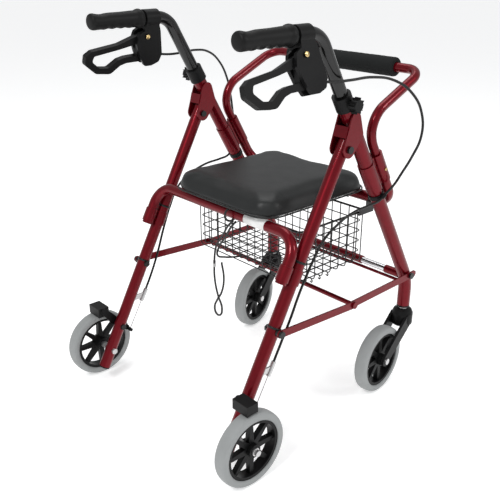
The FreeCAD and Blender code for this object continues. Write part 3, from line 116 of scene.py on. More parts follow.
grain, start, end = new_group(
    "Grain",
    [("Scale", "NodeSocketFloat", 900.0), ("Depth", "NodeSocketFloat", 0.2)],
    [("Normal", "NodeSocketVector")],
)
place = grain.nodes.new("ShaderNodeTexCoord")
noise = grain.nodes.new("ShaderNodeTexNoise")
bump = grain.nodes.new("ShaderNodeBump")
noise.inputs["Detail"].default_value = 3.0
bump.inputs["Distance"].default_value = 0.0004
grain.links.new(place.outputs["Object"], noise.inputs["Vector"])
grain.links.new(start.outputs["Scale"], noise.inputs["Scale"])
grain.links.new(noise.outputs["Fac"], bump.inputs["Height"])
grain.links.new(start.outputs["Depth"], bump.inputs["Strength"])
grain.links.new(bump.outputs["Normal"], end.inputs["Normal"])
print("group:", grain.name)

# %% The drift
drift, start, end = new_group(
    "Drift",
    [
        ("Scale", "NodeSocketFloat", 30.0), ("Color A", "NodeSocketColor", (0.5, 0.5, 0.5, 1)),
        ("Color B", "NodeSocketColor", (0.6, 0.6, 0.6, 1)), ("Low", "NodeSocketFloat", 0.3),
        ("High", "NodeSocketFloat", 0.4),
    ],
    [("Color", "NodeSocketColor"), ("Roughness", "NodeSocketFloat")],
)
place = drift.nodes.new("ShaderNodeTexCoord")
noise = drift.nodes.new("ShaderNodeTexNoise")
mix = drift.nodes.new("ShaderNodeMix")
mix.data_type = "RGBA"
span = drift.nodes.new("ShaderNodeMapRange")
drift.links.new(place.outputs["Object"], noise.inputs["Vector"])
drift.links.new(start.outputs["Scale"], noise.inputs["Scale"])
drift.links.new(noise.outputs["Fac"], mix.inputs["Factor"])
drift.links.new(start.outputs["Color A"], mix.inputs["A"])
drift.links.new(start.outputs["Color B"], mix.inputs["B"])
drift.links.new(noise.outputs["Fac"], span.inputs["Value"])
drift.links.new(start.outputs["Low"], span.inputs["To Min"])
drift.links.new(start.outputs["High"], span.inputs["To Max"])
drift.links.new(mix.outputs["Result"], end.inputs["Color"])
drift.links.new(span.outputs["Result"], end.inputs["Roughness"])
print("group:", drift.name)

# %% [markdown]
# ## Finishes
# The tubes are lacquered a deep red over metal, the handles are gloss black, and the rest is
# black plastic, dip-coated wire, grey rubber and a few bright metal parts.  Each finish is one
# Principled material.  The groups feed its colour, gloss and normal, and what is the same all
# over is typed straight on the shader's own socket.

# %% How a finish is made
def finish_of(name, color, other=None, rough=(0.3, 0.4), metallic=0.0, coat=0.0, drift_scale=30.0,
              grain_scale=0.0, grain_depth=0.2, specular=0.5):
    """A Principled material with drifting gloss, and drifting colour and grain where asked for."""
    material = bpy.data.materials.new(name)
    material.use_nodes = True
    tree = material.node_tree
    shader = tree.nodes["Principled BSDF"]
    change = tree.nodes.new("ShaderNodeGroup")
    change.node_tree = drift
    change.inputs["Scale"].default_value = drift_scale
    change.inputs["Low"].default_value, change.inputs["High"].default_value = rough
    tree.links.new(change.outputs["Roughness"], shader.inputs["Roughness"])
    if other:
        change.inputs["Color A"].default_value = (*color, 1)
        change.inputs["Color B"].default_value = (*other, 1)
        tree.links.new(change.outputs["Color"], shader.inputs["Base Color"])
    else:
        shader.inputs["Base Color"].default_value = (*color, 1)
    shader.inputs["Metallic"].default_value = metallic
    shader.inputs["Coat Weight"].default_value = coat
    shader.inputs["Coat Roughness"].default_value = 0.06
    shader.inputs["Specular IOR Level"].default_value = specular
    if grain_scale:
        skin = tree.nodes.new("ShaderNodeGroup")
        skin.node_tree = grain
        skin.inputs["Scale"].default_value = grain_scale
        skin.inputs["Depth"].default_value = grain_depth
        tree.links.new(skin.outputs["Normal"], shader.inputs["Normal"])
    return material


print("a finish has colour, gloss, coat and grain")

# %% The finishes of the walker
finishes = {
    "red_paint": finish_of(
        "Dark red lacquer", (0.125, 0.001, 0.005), (0.16, 0.002, 0.008), rough=(0.3, 0.4), metallic=0.6,
        coat=0.3, specular=0.1, drift_scale=60.0),
    "black_paint": finish_of(
        "Black gloss paint", (0.003, 0.003, 0.003), (0.005, 0.005, 0.005), rough=(0.15, 0.22), coat=0.4,
        specular=0.25),
    "chrome": finish_of("Chrome", (0.75, 0.75, 0.77), rough=(0.06, 0.12), metallic=1.0),
    "zinc": finish_of(
        "Zinc plate", (0.5, 0.5, 0.51), (0.62, 0.61, 0.6), rough=(0.28, 0.42), metallic=1.0, drift_scale=120.0),
    "brass": finish_of("Brass", (0.62, 0.45, 0.2), (0.7, 0.52, 0.25), rough=(0.2, 0.32), metallic=1.0),
    "black_plastic": finish_of(
        "Black nylon", (0.004, 0.004, 0.0045), (0.008, 0.008, 0.008), rough=(0.36, 0.48), grain_scale=1400.0,
        grain_depth=0.12, specular=0.14),
    "grip_plastic": finish_of(
        "Black grip", (0.004, 0.004, 0.004), (0.008, 0.008, 0.008), rough=(0.42, 0.55), grain_scale=1100.0,
        grain_depth=0.2, specular=0.16),
    "foam": finish_of(
        "Black foam", (0.008, 0.009, 0.009), (0.014, 0.015, 0.015), rough=(0.8, 0.95), grain_scale=1600.0,
        grain_depth=0.5, specular=0.2),
    "vinyl": finish_of(
        "Black vinyl", (0.007, 0.008, 0.008), (0.012, 0.013, 0.013), rough=(0.4, 0.52), grain_scale=700.0,
        grain_depth=0.35, specular=0.35),
    "tyre": finish_of(
        "Grey tyre", (0.25, 0.26, 0.26), (0.3, 0.31, 0.31), rough=(0.6, 0.75), grain_scale=900.0,
        grain_depth=0.2),
    "wire_black": finish_of(
        "Black dip coat", (0.004, 0.004, 0.0045), (0.007, 0.007, 0.007), rough=(0.25, 0.35), specular=0.35),
    "cable": finish_of(
        "Black cable sleeve", (0.004, 0.004, 0.004), (0.007, 0.007, 0.007), rough=(0.35, 0.45), specular=0.3),
    "cord": finish_of(
        "Black cord", (0.012, 0.012, 0.013), (0.03, 0.03, 0.03), rough=(0.8, 0.9), grain_scale=2200.0,
        grain_depth=0.6, drift_scale=400.0),
    "patch": finish_of("Blank patch", (0.75, 0.75, 0.74), (0.8, 0.8, 0.79), rough=(0.4, 0.5)),
}
print("finishes:", ", ".join(finishes))

# %% [markdown]
# ## Dressing the CAD pieces
# The rigid pieces come from the CAD file with their real shapes, and the record names a
# material slot for each.  Going through the record gives each piece its finish, and it can't
# miss one.  The handle tubes and the bolt heads are black on the real walker, so they take a
# black finish in place of bare metal, and so do the hangers, to go with the basket.

# %% Finishes on the CAD pieces
slot_of = {entry["node"]: entry["material_slot"] for entry in frame["record"]["subparts"]}
for name in ("basket_hangers", "pivot_bolts", "front_bolts", "rear_bolts"):
    slot_of[name] = "wire_black"
for side in SIDES:
    slot_of[f"handle_tube_{side}"] = "black_paint"
for name, piece in nodes.items():
    piece.data.materials.clear()
    piece.data.materials.append(finishes[slot_of[name]])
    for polygon in piece.data.polygons:
        polygon.material_index = 0
print("dressed pieces:", len(nodes))

# %% [markdown]
# ## Softened edges
# No moulded or pressed edge is knife sharp, and the thin line of light along it is what makes
# it look made.  Beveling each edge by hand would take long.  A modifier finds the sharp edges
# by their angle, after another has merged the small flat facets, so the bevel runs evenly.

# %% Bevels on moulded plastic and pressed steel
SOFT_PLASTIC, SOFT_STEEL = 0.0007, 0.0003
moulded = ["leg_collars", "cable_clips", "stem_bushes"]
for side in SIDES:
    moulded += [f"brake_housing_{side}", f"brake_lever_{side}", f"brake_arm_{side}", f"rear_rim_{side}",
                f"front_rim_{side}"]
pressed = ["hinge_brackets", "front_stays", "rear_stays", "front_sleeves", "rear_sleeves"]
for name in moulded + pressed:
    piece = nodes[name]
    flat = piece.modifiers.new("Flat faces", "DECIMATE")
    flat.decimate_type = "DISSOLVE"
    flat.angle_limit = math.radians(1.0)
    soft = piece.modifiers.new("Soft edges", "BEVEL")
    soft.width = SOFT_PLASTIC if name in moulded else SOFT_STEEL
    soft.segments = 2
    soft.limit_method = "ANGLE"
    soft.angle_limit = math.radians(40.0)
    soft.harden_normals = False
print("softened pieces:", len(moulded + pressed))

# %% [markdown]
# ## Cables
# A brake cable is one springy sleeve that leaves the lever's housing, bows out wide, and goes
# down the front leg and across to the rear one.  It could be swept in CAD, but a curve with a
# round bevel gives the smooth line at once.  Its upper run bends when a handle is raised and its
# crossing run when the frame folds; here each becomes a mesh fixed where it is drawn, and only
# the run down the rear leg rides the rear frame.

# %% A round strand
def strand(name, points, radius, finish, cyclic=False, smooth=True):
    """A round strand along points, as a mesh."""
    curve = bpy.data.curves.new(name, "CURVE")
    curve.dimensions = "3D"
    curve.bevel_depth = radius
    curve.bevel_resolution = 3
    curve.resolution_u = 8
    curve.use_fill_caps = True
    spline = curve.splines.new("BEZIER" if smooth else "POLY")
    if smooth:
        spline.bezier_points.add(len(points) - 1)
        for spot, point in zip(spline.bezier_points, points):
            spot.co = point
            spot.handle_left_type = spot.handle_right_type = "AUTO"
    else:
        spline.points.add(len(points) - 1)
        for spot, point in zip(spline.points, points):
            spot.co = (*point, 1)
    spline.use_cyclic_u = cyclic
    helper = bpy.data.objects.new(name + " line", curve)
    bpy.context.collection.objects.link(helper)
    mesh = bpy.data.meshes.new_from_object(helper.evaluated_get(bpy.context.evaluated_depsgraph_get()))
    bpy.data.objects.remove(helper)
    piece = bpy.data.objects.new(name, mesh)
    bpy.context.collection.objects.link(piece)
    mesh.materials.clear()
    mesh.materials.append(finishes[finish])
    for polygon in mesh.polygons:
        polygon.use_smooth = True
    return piece


print("a strand is a curve with a round bevel, turned into a mesh")

# %% Cable runs
CABLE_RADIUS = 0.0025
upper_run = [
    (233.9, 180.5, 714.2), (235, 210, 710), (240, 250, 709), (250, 300, 710), (262, 346, 701), (274, 387, 675),
    (280, 415, 635), (277, 425, 588), (263, 420, 545), (248, 414, 512), (238, 405, 487), (231.4, 384.7, 467.8),
]
crossing_run = [
    (231, 383.4, 466.4), (229.4, 372.7, 459.1), (227.3, 346, 455.6), (226, 300, 452), (225.6, 256, 438.5),
    (224.6, 216, 414), (221.5, 186, 368),
]
falling_run = [(221.5, 186, 368), (218, 165, 324), (215, 143, 271), (213, 122, 228), (212.5, 98.3, 184.2)]
for side, sign in SIDES.items():
    upper = strand(f"Upper_cable_{side}", [at(sign * x, y, z) for x, y, z in upper_run], CABLE_RADIUS, "cable")
    crossing = strand(f"Crossing_cable_{side}", [at(sign * x, y, z) for x, y, z in crossing_run],
                      CABLE_RADIUS, "cable")
    falling = strand(f"Falling_cable_{side}", [at(sign * x, y, z) for x, y, z in falling_run],
                     CABLE_RADIUS, "cable")
    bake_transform(upper)
    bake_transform(crossing)
    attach(falling, "rear_frame")
    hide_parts(f"upper_cable_{side}")
    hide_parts("lower_cables")
print("cable runs:", 3 * len(SIDES))

# %% [markdown]
# ## Brake wires and the pull cord
# Below its stop on the rear leg a cable is stripped, and the bare wire pulls the brake arm.
# The wire is a mesh fixed where it is drawn.  The pull cord is a limp
# loop round the rear seat tube, which the user lifts to fold the frame.  A simulated rope would
# settle anew each time, so its route is drawn, and the cord rides the rear frame.

# %% Brake wires
WIRE_RADIUS, BOOT_RADIUS = 0.0009, 0.0035
for side, sign in SIDES.items():
    stop_end, arm_end = at(sign * LEG_PLANE, 97.0, 182.0), at(sign * LEG_PLANE, 55.0, 109.0)
    wire = strand(f"Brake_wire_{side}", [stop_end, stop_end.lerp(arm_end, 0.5), arm_end], WIRE_RADIUS, "zinc")
    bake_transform(wire)
    boot = strand(f"Cable_boot_{side}", [at(sign * 212.6, 101, 190), at(sign * LEG_PLANE, 92, 173)],
                  BOOT_RADIUS, "cable", smooth=False)
    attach(boot, "rear_frame")
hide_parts("brake_wires")   # one CAD node holds the wires of both sides
print("brake wires:", len(SIDES))

# %% The pull cord
CORD_RADIUS = 0.00225
taut_cord = [(38, 163, 414.6), (20, 167, 398), (-12, 182, 368), (-44, 198, 340), (-74, 211, 312), (-90, 220, 284),
             (-99, 250, 268), (-101, 276, 260), (-101, 302.5, 255)]
slack_cord = [(33, 160, 415.5), (15, 163, 400), (-17, 178, 370), (-49, 193, 342), (-77, 204, 310)]
loop_cord = [(-84, 205, 270), (-82, 204, 232), (-72, 204, 196), (-60, 205, 168), (-66, 205, 148), (-82, 206, 146),
             (-88, 207, 160), (-80, 208, 180), (-66, 210, 204), (-60, 212, 240), (-68, 213, 276)]
RING_ACROSS, RING_FORWARD, RING_UP, RING_RADIUS = 36, 152.1, 432.8, 13.6
tube_ring = []   # the cord's turn round the rear seat tube
for i in range(12):
    turn = i * math.tau / 12
    tube_ring.append(at(RING_ACROSS + 2 * math.cos(turn), RING_FORWARD + RING_RADIUS * math.cos(turn),
                        RING_UP + RING_RADIUS * math.sin(turn)))
cord_lines = [
    strand("Taut_cord", [at(*p) for p in taut_cord], CORD_RADIUS, "cord"),
    strand("Slack_cord", [at(*p) for p in slack_cord + loop_cord], CORD_RADIUS, "cord"),
    strand("Cord_ring", tube_ring, CORD_RADIUS, "cord", cyclic=True),
]
with bpy.context.temp_override(active_object=cord_lines[0], selected_editable_objects=cord_lines):
    bpy.ops.object.join()
pull_cord = cord_lines[0]
pull_cord.name = "Pull_cord"
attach(pull_cord, "rear_frame")
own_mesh(pull_cord)
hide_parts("pull_cord")
print("cord points:", len(pull_cord.data.vertices))

# %% [markdown]
# ## Turned pieces
# Tyres, grips and bolt heads are turned shapes.  A tyre is an even ring, so one outline is spun around the
# axle.  A grip is spun too, but its radius changes with the angle, for the finger ridges below
# and the flat for the palm above.

# %% A spun skin
def spun(name, centre, axis, outline, finish, steps=96, closed=True, change=None):
    """Spin (along, radius) pairs round an axis; change(along, radius, angle) may alter the radius."""
    axis = Vector(axis).normalized()
    side = axis.cross(Vector((0, 0, 1))).normalized()
    up = side.cross(axis).normalized()
    bm = bmesh.new()
    rings = []
    for along, radius in outline:
        ring = []
        for i in range(steps):
            angle = i * math.tau / steps
            reach = change(along, radius, angle) if change else radius
            outward = side * math.cos(angle) + up * math.sin(angle)
            ring.append(bm.verts.new(centre + axis * along + outward * reach))
        rings.append(ring)
    pairs = list(zip(rings, rings[1:] + rings[:1])) if closed else list(zip(rings, rings[1:]))
    for ring, other in pairs:
        for i in range(steps):
            bm.faces.new((ring[i], ring[(i + 1) % steps], other[(i + 1) % steps], other[i]))
    if not closed:
        bm.faces.new(rings[0])
        bm.faces.new(rings[-1])
    bmesh.ops.recalc_face_normals(bm, faces=bm.faces)
    for face in bm.faces:
        face.smooth = True
    mesh = bpy.data.meshes.new(name)
    bm.to_mesh(mesh)
    bm.free()
    mesh.materials.append(finishes[finish])
    piece = bpy.data.objects.new(name, mesh)
    bpy.context.collection.objects.link(piece)
    return piece


print("a skin is spun ring by ring")

# %% Tyres
joints = {joint["name"]: joint for joint in frame["joints"]}
TYRE_HALF, TYRE_SEAT = 0.0137, 0.061
tyre_outline = [(-TYRE_HALF + 0.001, TYRE_SEAT), (-TYRE_HALF, TYRE_SEAT + 0.004), (-TYRE_HALF, TYRE_SEAT + 0.007)]
for i in range(13):
    turn = math.pi * (i / 12 - 0.5)
    bulge = math.copysign(abs(math.sin(turn)) ** 0.8, turn)
    tyre_outline.append((TYRE_HALF * bulge, TYRE_SEAT + 0.0075 + 0.0075 * abs(math.cos(turn)) ** 0.55))
tyre_outline += [(TYRE_HALF, TYRE_SEAT + 0.007), (TYRE_HALF, TYRE_SEAT + 0.004), (TYRE_HALF - 0.001, TYRE_SEAT)]
for where in ("front", "rear"):
    for side in SIDES:
        joint = joints[f"{where}_wheel_{side}_roll"]
        tyre = spun(f"Tyre_{where}_{side}", Vector(joint["pos_m"]), joint["axis"], tyre_outline, "tyre", steps=128)
        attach(tyre, f"{where}_wheel_{side}")
        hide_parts(f"{where}_tyre_{side}")
print("tyres turned, width", round(TYRE_HALF * 2000, 1))

# %% [markdown]
# ## Grips
# A moulded grip has four finger hollows below, a scooped flat for the heel of the hand above,
# and a flange that stops the thumb.  It could be sculpted, but a spun outline whose radius
# changes with the angle keeps every ring even and the hollows the same on both sides.

# %% Both grips
FINGERS, FINGER_FROM, FINGER_RUN, FINGER_RIDGE = 4, 0.020, 0.078, 0.0016
PALM_AT, PALM_LONG, PALM_DEPTH = 0.022, 0.013, 0.0026


def grip_reach(along, radius, angle):
    """Four finger hollows below, and a scooped flat above the heel of the hand."""
    below = max(0.0, -math.sin(angle))
    above = max(0.0, math.sin(angle))
    length = min(1.0, max(0.0, (along - FINGER_FROM) / FINGER_RUN))
    fade = math.sin(math.pi * length) ** 0.3 if 0 < length < 1 else 0.0
    wave = 0.5 - 0.5 * math.cos(length * FINGERS * math.tau)
    fingers = FINGER_RIDGE * fade * below * wave - 0.0004 * below * fade
    palm = PALM_DEPTH * above ** 1.5 * math.exp(-((along - PALM_AT) / PALM_LONG) ** 2)
    return radius + fingers - palm


grip_outline = [(0.0, 0.0001), (0.0, 0.010), (0.0006, 0.0125), (0.002, 0.0143), (0.0045, 0.0157),
                (0.008, 0.0162)]
for i in range(46):
    along = 0.010 + i * 0.002
    grip_outline.append((along, 0.0162 - 0.0012 * math.sin(math.pi * min(1.0, (along - 0.010) / 0.086))))
grip_outline += [(0.103, 0.0166), (0.107, 0.0182), (0.1095, 0.0189), (0.112, 0.019), (0.1145, 0.0187),
                 (0.1165, 0.0175), (0.119, 0.0163), (0.120, 0.0155), (0.120, 0.0001)]
for side, sign in SIDES.items():
    heel = at(sign * LEG_PLANE, 15.0, 789.0)
    grip = spun(f"Grip_{side}", heel, (0, 1, 0), grip_outline, "grip_plastic", steps=72, closed=False,
                change=grip_reach)
    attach(grip, f"handle_{side}")
    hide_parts(f"grip_{side}")
print("grips turned, rings:", len(grip_outline))

# %% [markdown]
# ## The foam bar
# A foam sleeve is slit, wrapped round the tube and glued, so it has rounded ends, a skin that
# is a little uneven and a shallow seam along its underside.  Cloth would be wasted on a sleeve
# this stiff, so it is spun, and the seam and the unevenness are worked into its radius.

# %% Foam sleeve
foam_centre = at(0.0, 503.0, 696.0)
FOAM_RADIUS, SEAM_DEPTH, SEAM_WIDTH = 0.0195, 0.0011, 0.045
foam_end = [(0.144, FOAM_RADIUS), (0.1470, 0.0190), (0.1488, 0.0176), (0.1498, 0.0150), (0.150, 0.0098)]
foam_outline = [(-along, radius) for along, radius in reversed(foam_end)]
foam_outline += [(-0.140 + i * 0.004, FOAM_RADIUS + 0.00012 * math.sin(i * 1.7) + 0.0001 * math.sin(i * 0.45))
                 for i in range(71)]
foam_outline += foam_end


def foam_reach(along, radius, angle):
    """The glued slit runs along the underside."""
    away = abs((angle + math.pi / 2 + math.pi) % math.tau - math.pi)
    return radius - SEAM_DEPTH * math.exp(-(away / SEAM_WIDTH) ** 2) * (radius > 0.012)


foam = spun("Foam_sleeve", foam_centre, (1, 0, 0), foam_outline, "foam", steps=180, change=foam_reach)
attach(foam, "front_frame")
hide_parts("backrest_foam")
print("foam rings:", len(foam_outline))

# %% [markdown]
# ## The padded seat
# The seat is foam under stretched vinyl.  A stiff slab would look cut from a block, so a copy of
# the slab is remeshed, given a little air pressure as cloth, and its underside is pinned to the
# board.  The welt round its lower edge goes on afterwards.

# %% Outlines stacked into a slab
SEAT_MIDDLE = at(0.0, 294.0, 447.5)
SEAT_WIDE, SEAT_DEEP, SEAT_CORNER = 0.149, 0.153, 0.046


def round_outline(wide, deep, corner, up, steps=8):
    """Points round a rectangle with rounded corners, at a height."""
    points = []
    for quarter, (sx, sy) in enumerate(((1, 1), (-1, 1), (-1, -1), (1, -1))):
        for i in range(steps + 1):
            turn = (quarter + i / steps) * math.pi / 2
            across = sx * (wide - corner) + corner * math.cos(turn)
            forward = sy * (deep - corner) + corner * math.sin(turn)
            points.append(SEAT_MIDDLE + Vector((across, forward, up)))
    return points


def stacked(name, outlines, finish):
    """A closed skin through outlines stacked one above the other."""
    bm = bmesh.new()
    rings = [[bm.verts.new(point) for point in outline] for outline in outlines]
    for ring, other in zip(rings, rings[1:]):
        for i in range(len(ring)):
            j = (i + 1) % len(ring)
            bm.faces.new((ring[i], ring[j], other[j], other[i]))
    bm.faces.new(rings[0])
    bm.faces.new(rings[-1])
    bmesh.ops.recalc_face_normals(bm, faces=bm.faces)
    mesh = bpy.data.meshes.new(name)
    bm.to_mesh(mesh)
    bm.free()
    mesh.materials.append(finishes[finish])
    piece = bpy.data.objects.new(name, mesh)
    bpy.context.collection.objects.link(piece)
    return piece


layers = [(0.004, 0.0), (0.001, 0.003), (0.0015, 0.012), (0.002, 0.022), (0.005, 0.029), (0.010, 0.034),
          (0.020, 0.0365)]   # how far each outline is set in, and its height
cushion = stacked("Cushion", [
    round_outline(SEAT_WIDE - inset, SEAT_DEEP - inset, SEAT_CORNER - min(inset, 0.012), up)
    for inset, up in layers
], "vinyl")
print("slab of", len(layers), "outlines")

# %% Air pressure in the cushion
PRESSURE, LAST_FRAME, LARGEST_MOVE = 2.5, 20, 0.005


def apply_modifiers(piece):
    """Bake the modifiers into the mesh."""
    mesh = bpy.data.meshes.new_from_object(piece.evaluated_get(bpy.context.evaluated_depsgraph_get()))
    piece.modifiers.clear()
    piece.data = mesh


remesh = cushion.modifiers.new("Even mesh", "REMESH")
remesh.mode = "VOXEL"
remesh.voxel_size = 0.0055
apply_modifiers(cushion)
rest = [vertex.co.copy() for vertex in cushion.data.vertices]
held = cushion.vertex_groups.new(name="Held")
low = SEAT_MIDDLE.z + 0.0035
held.add([i for i, co in enumerate(rest) if co.z < low], 1.0, "REPLACE")
cloth = cushion.modifiers.new("Pressure", "CLOTH")
cloth.settings.quality = 5
cloth.settings.mass = 0.3
cloth.settings.tension_stiffness = 12
cloth.settings.compression_stiffness = 12
cloth.settings.bending_stiffness = 0.5
cloth.settings.use_pressure = True
cloth.settings.uniform_pressure_force = PRESSURE
cloth.settings.effector_weights.gravity = 0.0
cloth.settings.vertex_group_mass = "Held"
for number in range(1, LAST_FRAME + 1):
    bpy.context.scene.frame_set(number)
apply_modifiers(cushion)
bpy.context.scene.frame_set(1)
moved = 0.0
for vertex, co in zip(cushion.data.vertices, rest):
    shift = vertex.co - co
    if shift.length > LARGEST_MOVE:
        shift *= LARGEST_MOVE / shift.length
    vertex.co = co + shift
    moved = max(moved, shift.length)
smooth = cushion.modifiers.new("Smooth", "SMOOTH")
smooth.iterations = 14
finer = cushion.modifiers.new("Finer", "SUBSURF")
finer.levels = finer.render_levels = 1
apply_modifiers(cushion)
for polygon in cushion.data.polygons:
    polygon.use_smooth = True
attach(cushion, "seat")
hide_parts("seat_pad")
print("cushion points:", len(cushion.data.vertices), "largest move:", round(moved * 1000, 1), "mm")

# %% The welt
WELT_RADIUS, WELT_OUT, WELT_UP = 0.0017, 0.0005, 0.004
welt_line = round_outline(SEAT_WIDE + WELT_OUT, SEAT_DEEP + WELT_OUT, SEAT_CORNER, WELT_UP)
welt = strand("Cushion_welt", welt_line, WELT_RADIUS, "vinyl", cyclic=True, smooth=False)
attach(welt, "seat")
print("welt points:", len(welt.data.vertices))

# %% [markdown]
# ## The wire basket
# The basket is welded from bent round wires and dipped in black plastic.  A wireframe
# modifier on a box would give mitred corners and wires of one size.  Here each wire is one
# strand with rounded corners, which is how it is bent in the shop, and the rim is thicker.

# %% A bent wire
BASKET = {"half": 155.0, "rear": 226.0, "front": 418.0, "top": 409.0, "low": 292.0}
STEP, THIN, THICK = 24.0, 1.2, 2.3


def rounded(corners, reach=9.0, closed=False):
    """Replace each corner of a path by a short arc."""
    points = []
    count = len(corners)
    for i, corner in enumerate(corners):
        here = Vector(corner)
        if not closed and i in (0, count - 1):
            points.append(here)
            continue
        before, after = Vector(corners[i - 1]), Vector(corners[(i + 1) % count])
        start = here + (before - here).normalized() * reach
        stop = here + (after - here).normalized() * reach
        for k in range(6):
            f = k / 5
            points.append(start.lerp(here, f).lerp(here.lerp(stop, f), f))
    return [at(*p) for p in points]


print("a bent wire has short arcs at its corners")

# %% Basket wires
half, rear, front, top, low = (BASKET[key] for key in ("half", "rear", "front", "top", "low"))
runs = []
rows = round((front - rear) / STEP)
for i in range(rows + 1):
    y = rear + (front - rear) * i / rows
    runs.append((rounded([(-half, y, top), (-half, y, low), (half, y, low), (half, y, top)]), THIN, False))
columns = int(half / STEP)
for i in range(-columns, columns + 1):
    x, lap = i * STEP, 2 * THIN
    runs.append((rounded([(x, rear + lap, top), (x, rear + lap, low + lap), (x, front - lap, low + lap),
                          (x, front - lap, top)]), THIN, False))
for i in range(1, 5):
    z, inner = low + 2 * THIN + (top - low - 2 * THIN) * i / 5, half - 2 * THIN
    runs.append((rounded([(-inner, rear, z), (inner, rear, z), (inner, front, z), (-inner, front, z)], closed=True),
                 THIN, True))
edge = THIN + THICK - 0.3
runs.append((rounded([(-half - edge, rear - edge, top), (half + edge, rear - edge, top),
                      (half + edge, front + edge, top), (-half - edge, front + edge, top)], reach=14.0, closed=True),
             THICK, True))
for i in range(3):   # three floor wires end in a small curl past the right wall
    y = 262.0 + STEP * i
    curl = [(half - 1.0, y, low + 1.0), (half + 4.0, y, low - 1.0), (half + 5.5, y, low + 3.0),
            (half + 2.5, y, low + 6.0)]
    runs.append((rounded(curl, reach=1.5), THIN, False))
basket_parts = [strand(f"Basket_wire_{i}", points, radius / 1000, "wire_black", cyclic=closed, smooth=False)
                for i, (points, radius, closed) in enumerate(runs)]
with bpy.context.temp_override(active_object=basket_parts[0], selected_editable_objects=basket_parts):
    bpy.ops.object.join()
basket = basket_parts[0]
basket.name = "Basket"
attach(basket, "basket")
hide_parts("basket_wires")
print("basket wires:", len(runs))

# %% [markdown]
# ## Small fittings
# Ties hold the cables to the legs, a plain blank patch sits on the rear tube, a clip gathers the
# pull cord, and a brass bolt carries each lever.  They are small, so the helpers that made the
# cables and the tyres make them too.  Each rides the body it is fixed to.

# %% Cable ties
TIE_HEIGHTS = (383.0, 268.0)
REAR_LEG_RUN, REAR_LEG_RISE = 272.5, 503.8


def fixed(piece, body):
    """A small piece that rides a body."""
    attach(piece, body)
    return piece


lean = Vector((0.0, REAR_LEG_RUN, REAR_LEG_RISE)).normalized()
TIE_HALF, TIE_INSIDE, TIE_OUTSIDE = 0.0022, 0.0129, 0.0140
band = [(-TIE_HALF, TIE_INSIDE), (-TIE_HALF, TIE_OUTSIDE), (TIE_HALF, TIE_OUTSIDE), (TIE_HALF, TIE_INSIDE)]
for side, sign in SIDES.items():
    for up in TIE_HEIGHTS:
        centre = at(sign * LEG_PLANE, REAR_LEG_RUN * (up - AXLE_UP) / REAR_LEG_RISE, up)
        tie = spun(f"Cable_tie_{side}_{up:.0f}", centre, lean, band, "cable", steps=40)
        fixed(tie, "rear_frame")
print("cable ties:", len(SIDES) * len(TIE_HEIGHTS))

# %% The blank patch and the cord clip
PATCH_START, PATCH_STOP, PATCH_INSIDE, PATCH_OUTSIDE = 0.074, 0.132, 0.01115, 0.0115
patch_outline = [(PATCH_START, PATCH_INSIDE), (PATCH_START, PATCH_OUTSIDE), (PATCH_STOP, PATCH_OUTSIDE),
                 (PATCH_STOP, PATCH_INSIDE)]
patch = spun("Blank_patch", at(0.0, 161.3, 432.8), (1, 0, 0), patch_outline, "patch", steps=48)
fixed(patch, "rear_frame")
clip = strand("Cord_clip", [at(-86, 207, 277), at(-83.5, 204.6, 263)], 0.0034, "zinc", smooth=False)
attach(clip, "rear_frame")
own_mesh(clip)
print("patch and clip are on")

# %% Lever bolts, each seated on its housing's side
HEAD_RADIUS, HEAD_TOP = 0.0048, 0.0038
for side in SIDES:
    joint = joints[f"brake_squeeze_{side}"]
    axis = Vector(joint["axis"])
    pivot = Vector(joint["pos_m"])
    for face in (-1, 1):
        away = axis * face
        found, spot, *_ = nodes[f"brake_housing_{side}"].ray_cast(pivot + away * 0.05, -away)
        reach = (spot - pivot).dot(away) if found else 0.0135
        head = [(reach - 0.001, 0.0001), (reach - 0.001, HEAD_RADIUS), (reach + 0.0012, HEAD_RADIUS),
                (reach + 0.002, HEAD_TOP), (reach + 0.0022, 0.0001)]
        bolt = spun(f"Lever_bolt_{side}_{face + 2}", pivot, away, head, "brass", steps=32, closed=False)
        fixed(bolt, f"handle_{side}")
print("lever bolts:", 2 * len(SIDES))

# %% [markdown]
# ## Floor, light and backdrop
# A product is shown on a plain pale floor under large soft lamps, which lay a soft stripe of
# light along every tube.  The white backdrop comes from the floor's colour and the world behind
# it, and not from stronger lamps, so that the colours of the walker stay as they were mixed.

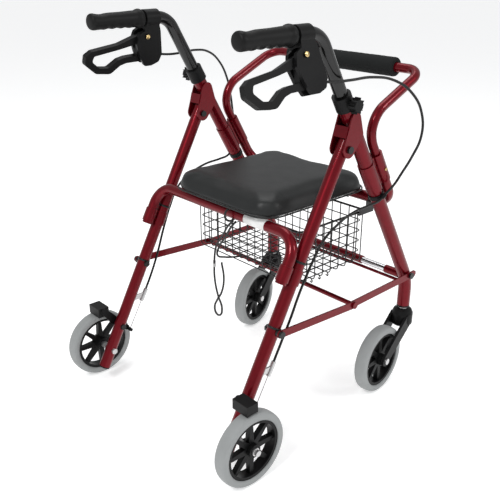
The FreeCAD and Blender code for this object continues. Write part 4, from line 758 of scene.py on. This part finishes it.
# %% The floor
FLOOR_HALF = 40.0
floor_mesh = bpy.data.meshes.new("Floor")
floor_corners = [(sx * FLOOR_HALF, sy * FLOOR_HALF, 0) for sx, sy in ((-1, -1), (1, -1), (1, 1), (-1, 1))]
floor_mesh.from_pydata(floor_corners, [], [(0, 1, 2, 3)])
floor = bpy.data.objects.new("Floor", floor_mesh)
floor.location.z = -0.0005
bpy.context.collection.objects.link(floor)
pale = bpy.data.materials.new("Pale floor")
pale.use_nodes = True
shader = pale.node_tree.nodes["Principled BSDF"]
shader.inputs["Base Color"].default_value = (0.97, 0.97, 0.97, 1)
shader.inputs["Roughness"].default_value = 0.8
shader.inputs["Emission Color"].default_value = (1.0, 1.0, 1.0, 1)
shader.inputs["Emission Strength"].default_value = 0.34
floor_mesh.materials.append(pale)
print("floor across:", 2 * FLOOR_HALF, "m")

# %% The lamps
def lamp(name, place, target, wide, high, power):
    """A large soft area lamp aimed at a point."""
    data = bpy.data.lights.new(name, "AREA")
    data.shape = "RECTANGLE"
    data.size, data.size_y = wide, high
    data.energy = power
    light = bpy.data.objects.new(name, data)
    light.location = place
    light.rotation_euler = (Vector(target) - Vector(place)).to_track_quat("-Z", "Y").to_euler()
    bpy.context.collection.objects.link(light)
    return light


lamp("Key lamp", (0.6, -2.2, 2.6), (0.0, 0.0, 0.4), 0.8, 0.8, 40)
lamp("Side lamp", (2.4, 1.2, 2.0), (0.0, 0.0, 0.4), 0.7, 0.9, 22)
lamp("Top lamp", (-0.8, 0.6, 3.0), (0.0, 0.0, 0.3), 1.4, 1.4, 20)

# %% The world
world = bpy.data.worlds.new("Studio")
bpy.context.scene.world = world
world.use_nodes = True
sky = world.node_tree
glow = sky.nodes["Background"]
glow.inputs["Color"].default_value = (0.93, 0.94, 0.95, 1)
glow.inputs["Strength"].default_value = 0.62
seen = sky.nodes.new("ShaderNodeBackground")
seen.inputs["Color"].default_value = (1.0, 1.0, 1.0, 1)
rays = sky.nodes.new("ShaderNodeLightPath")
choice = sky.nodes.new("ShaderNodeMixShader")
sky.links.new(rays.outputs["Is Camera Ray"], choice.inputs["Fac"])
sky.links.new(glow.outputs[0], choice.inputs[1])
sky.links.new(seen.outputs[0], choice.inputs[2])
sky.links.new(choice.outputs[0], sky.nodes["World Output"].inputs["Surface"])
bpy.context.scene.view_settings.view_transform = "Standard"
print("world strength:", round(glow.inputs["Strength"].default_value, 2))
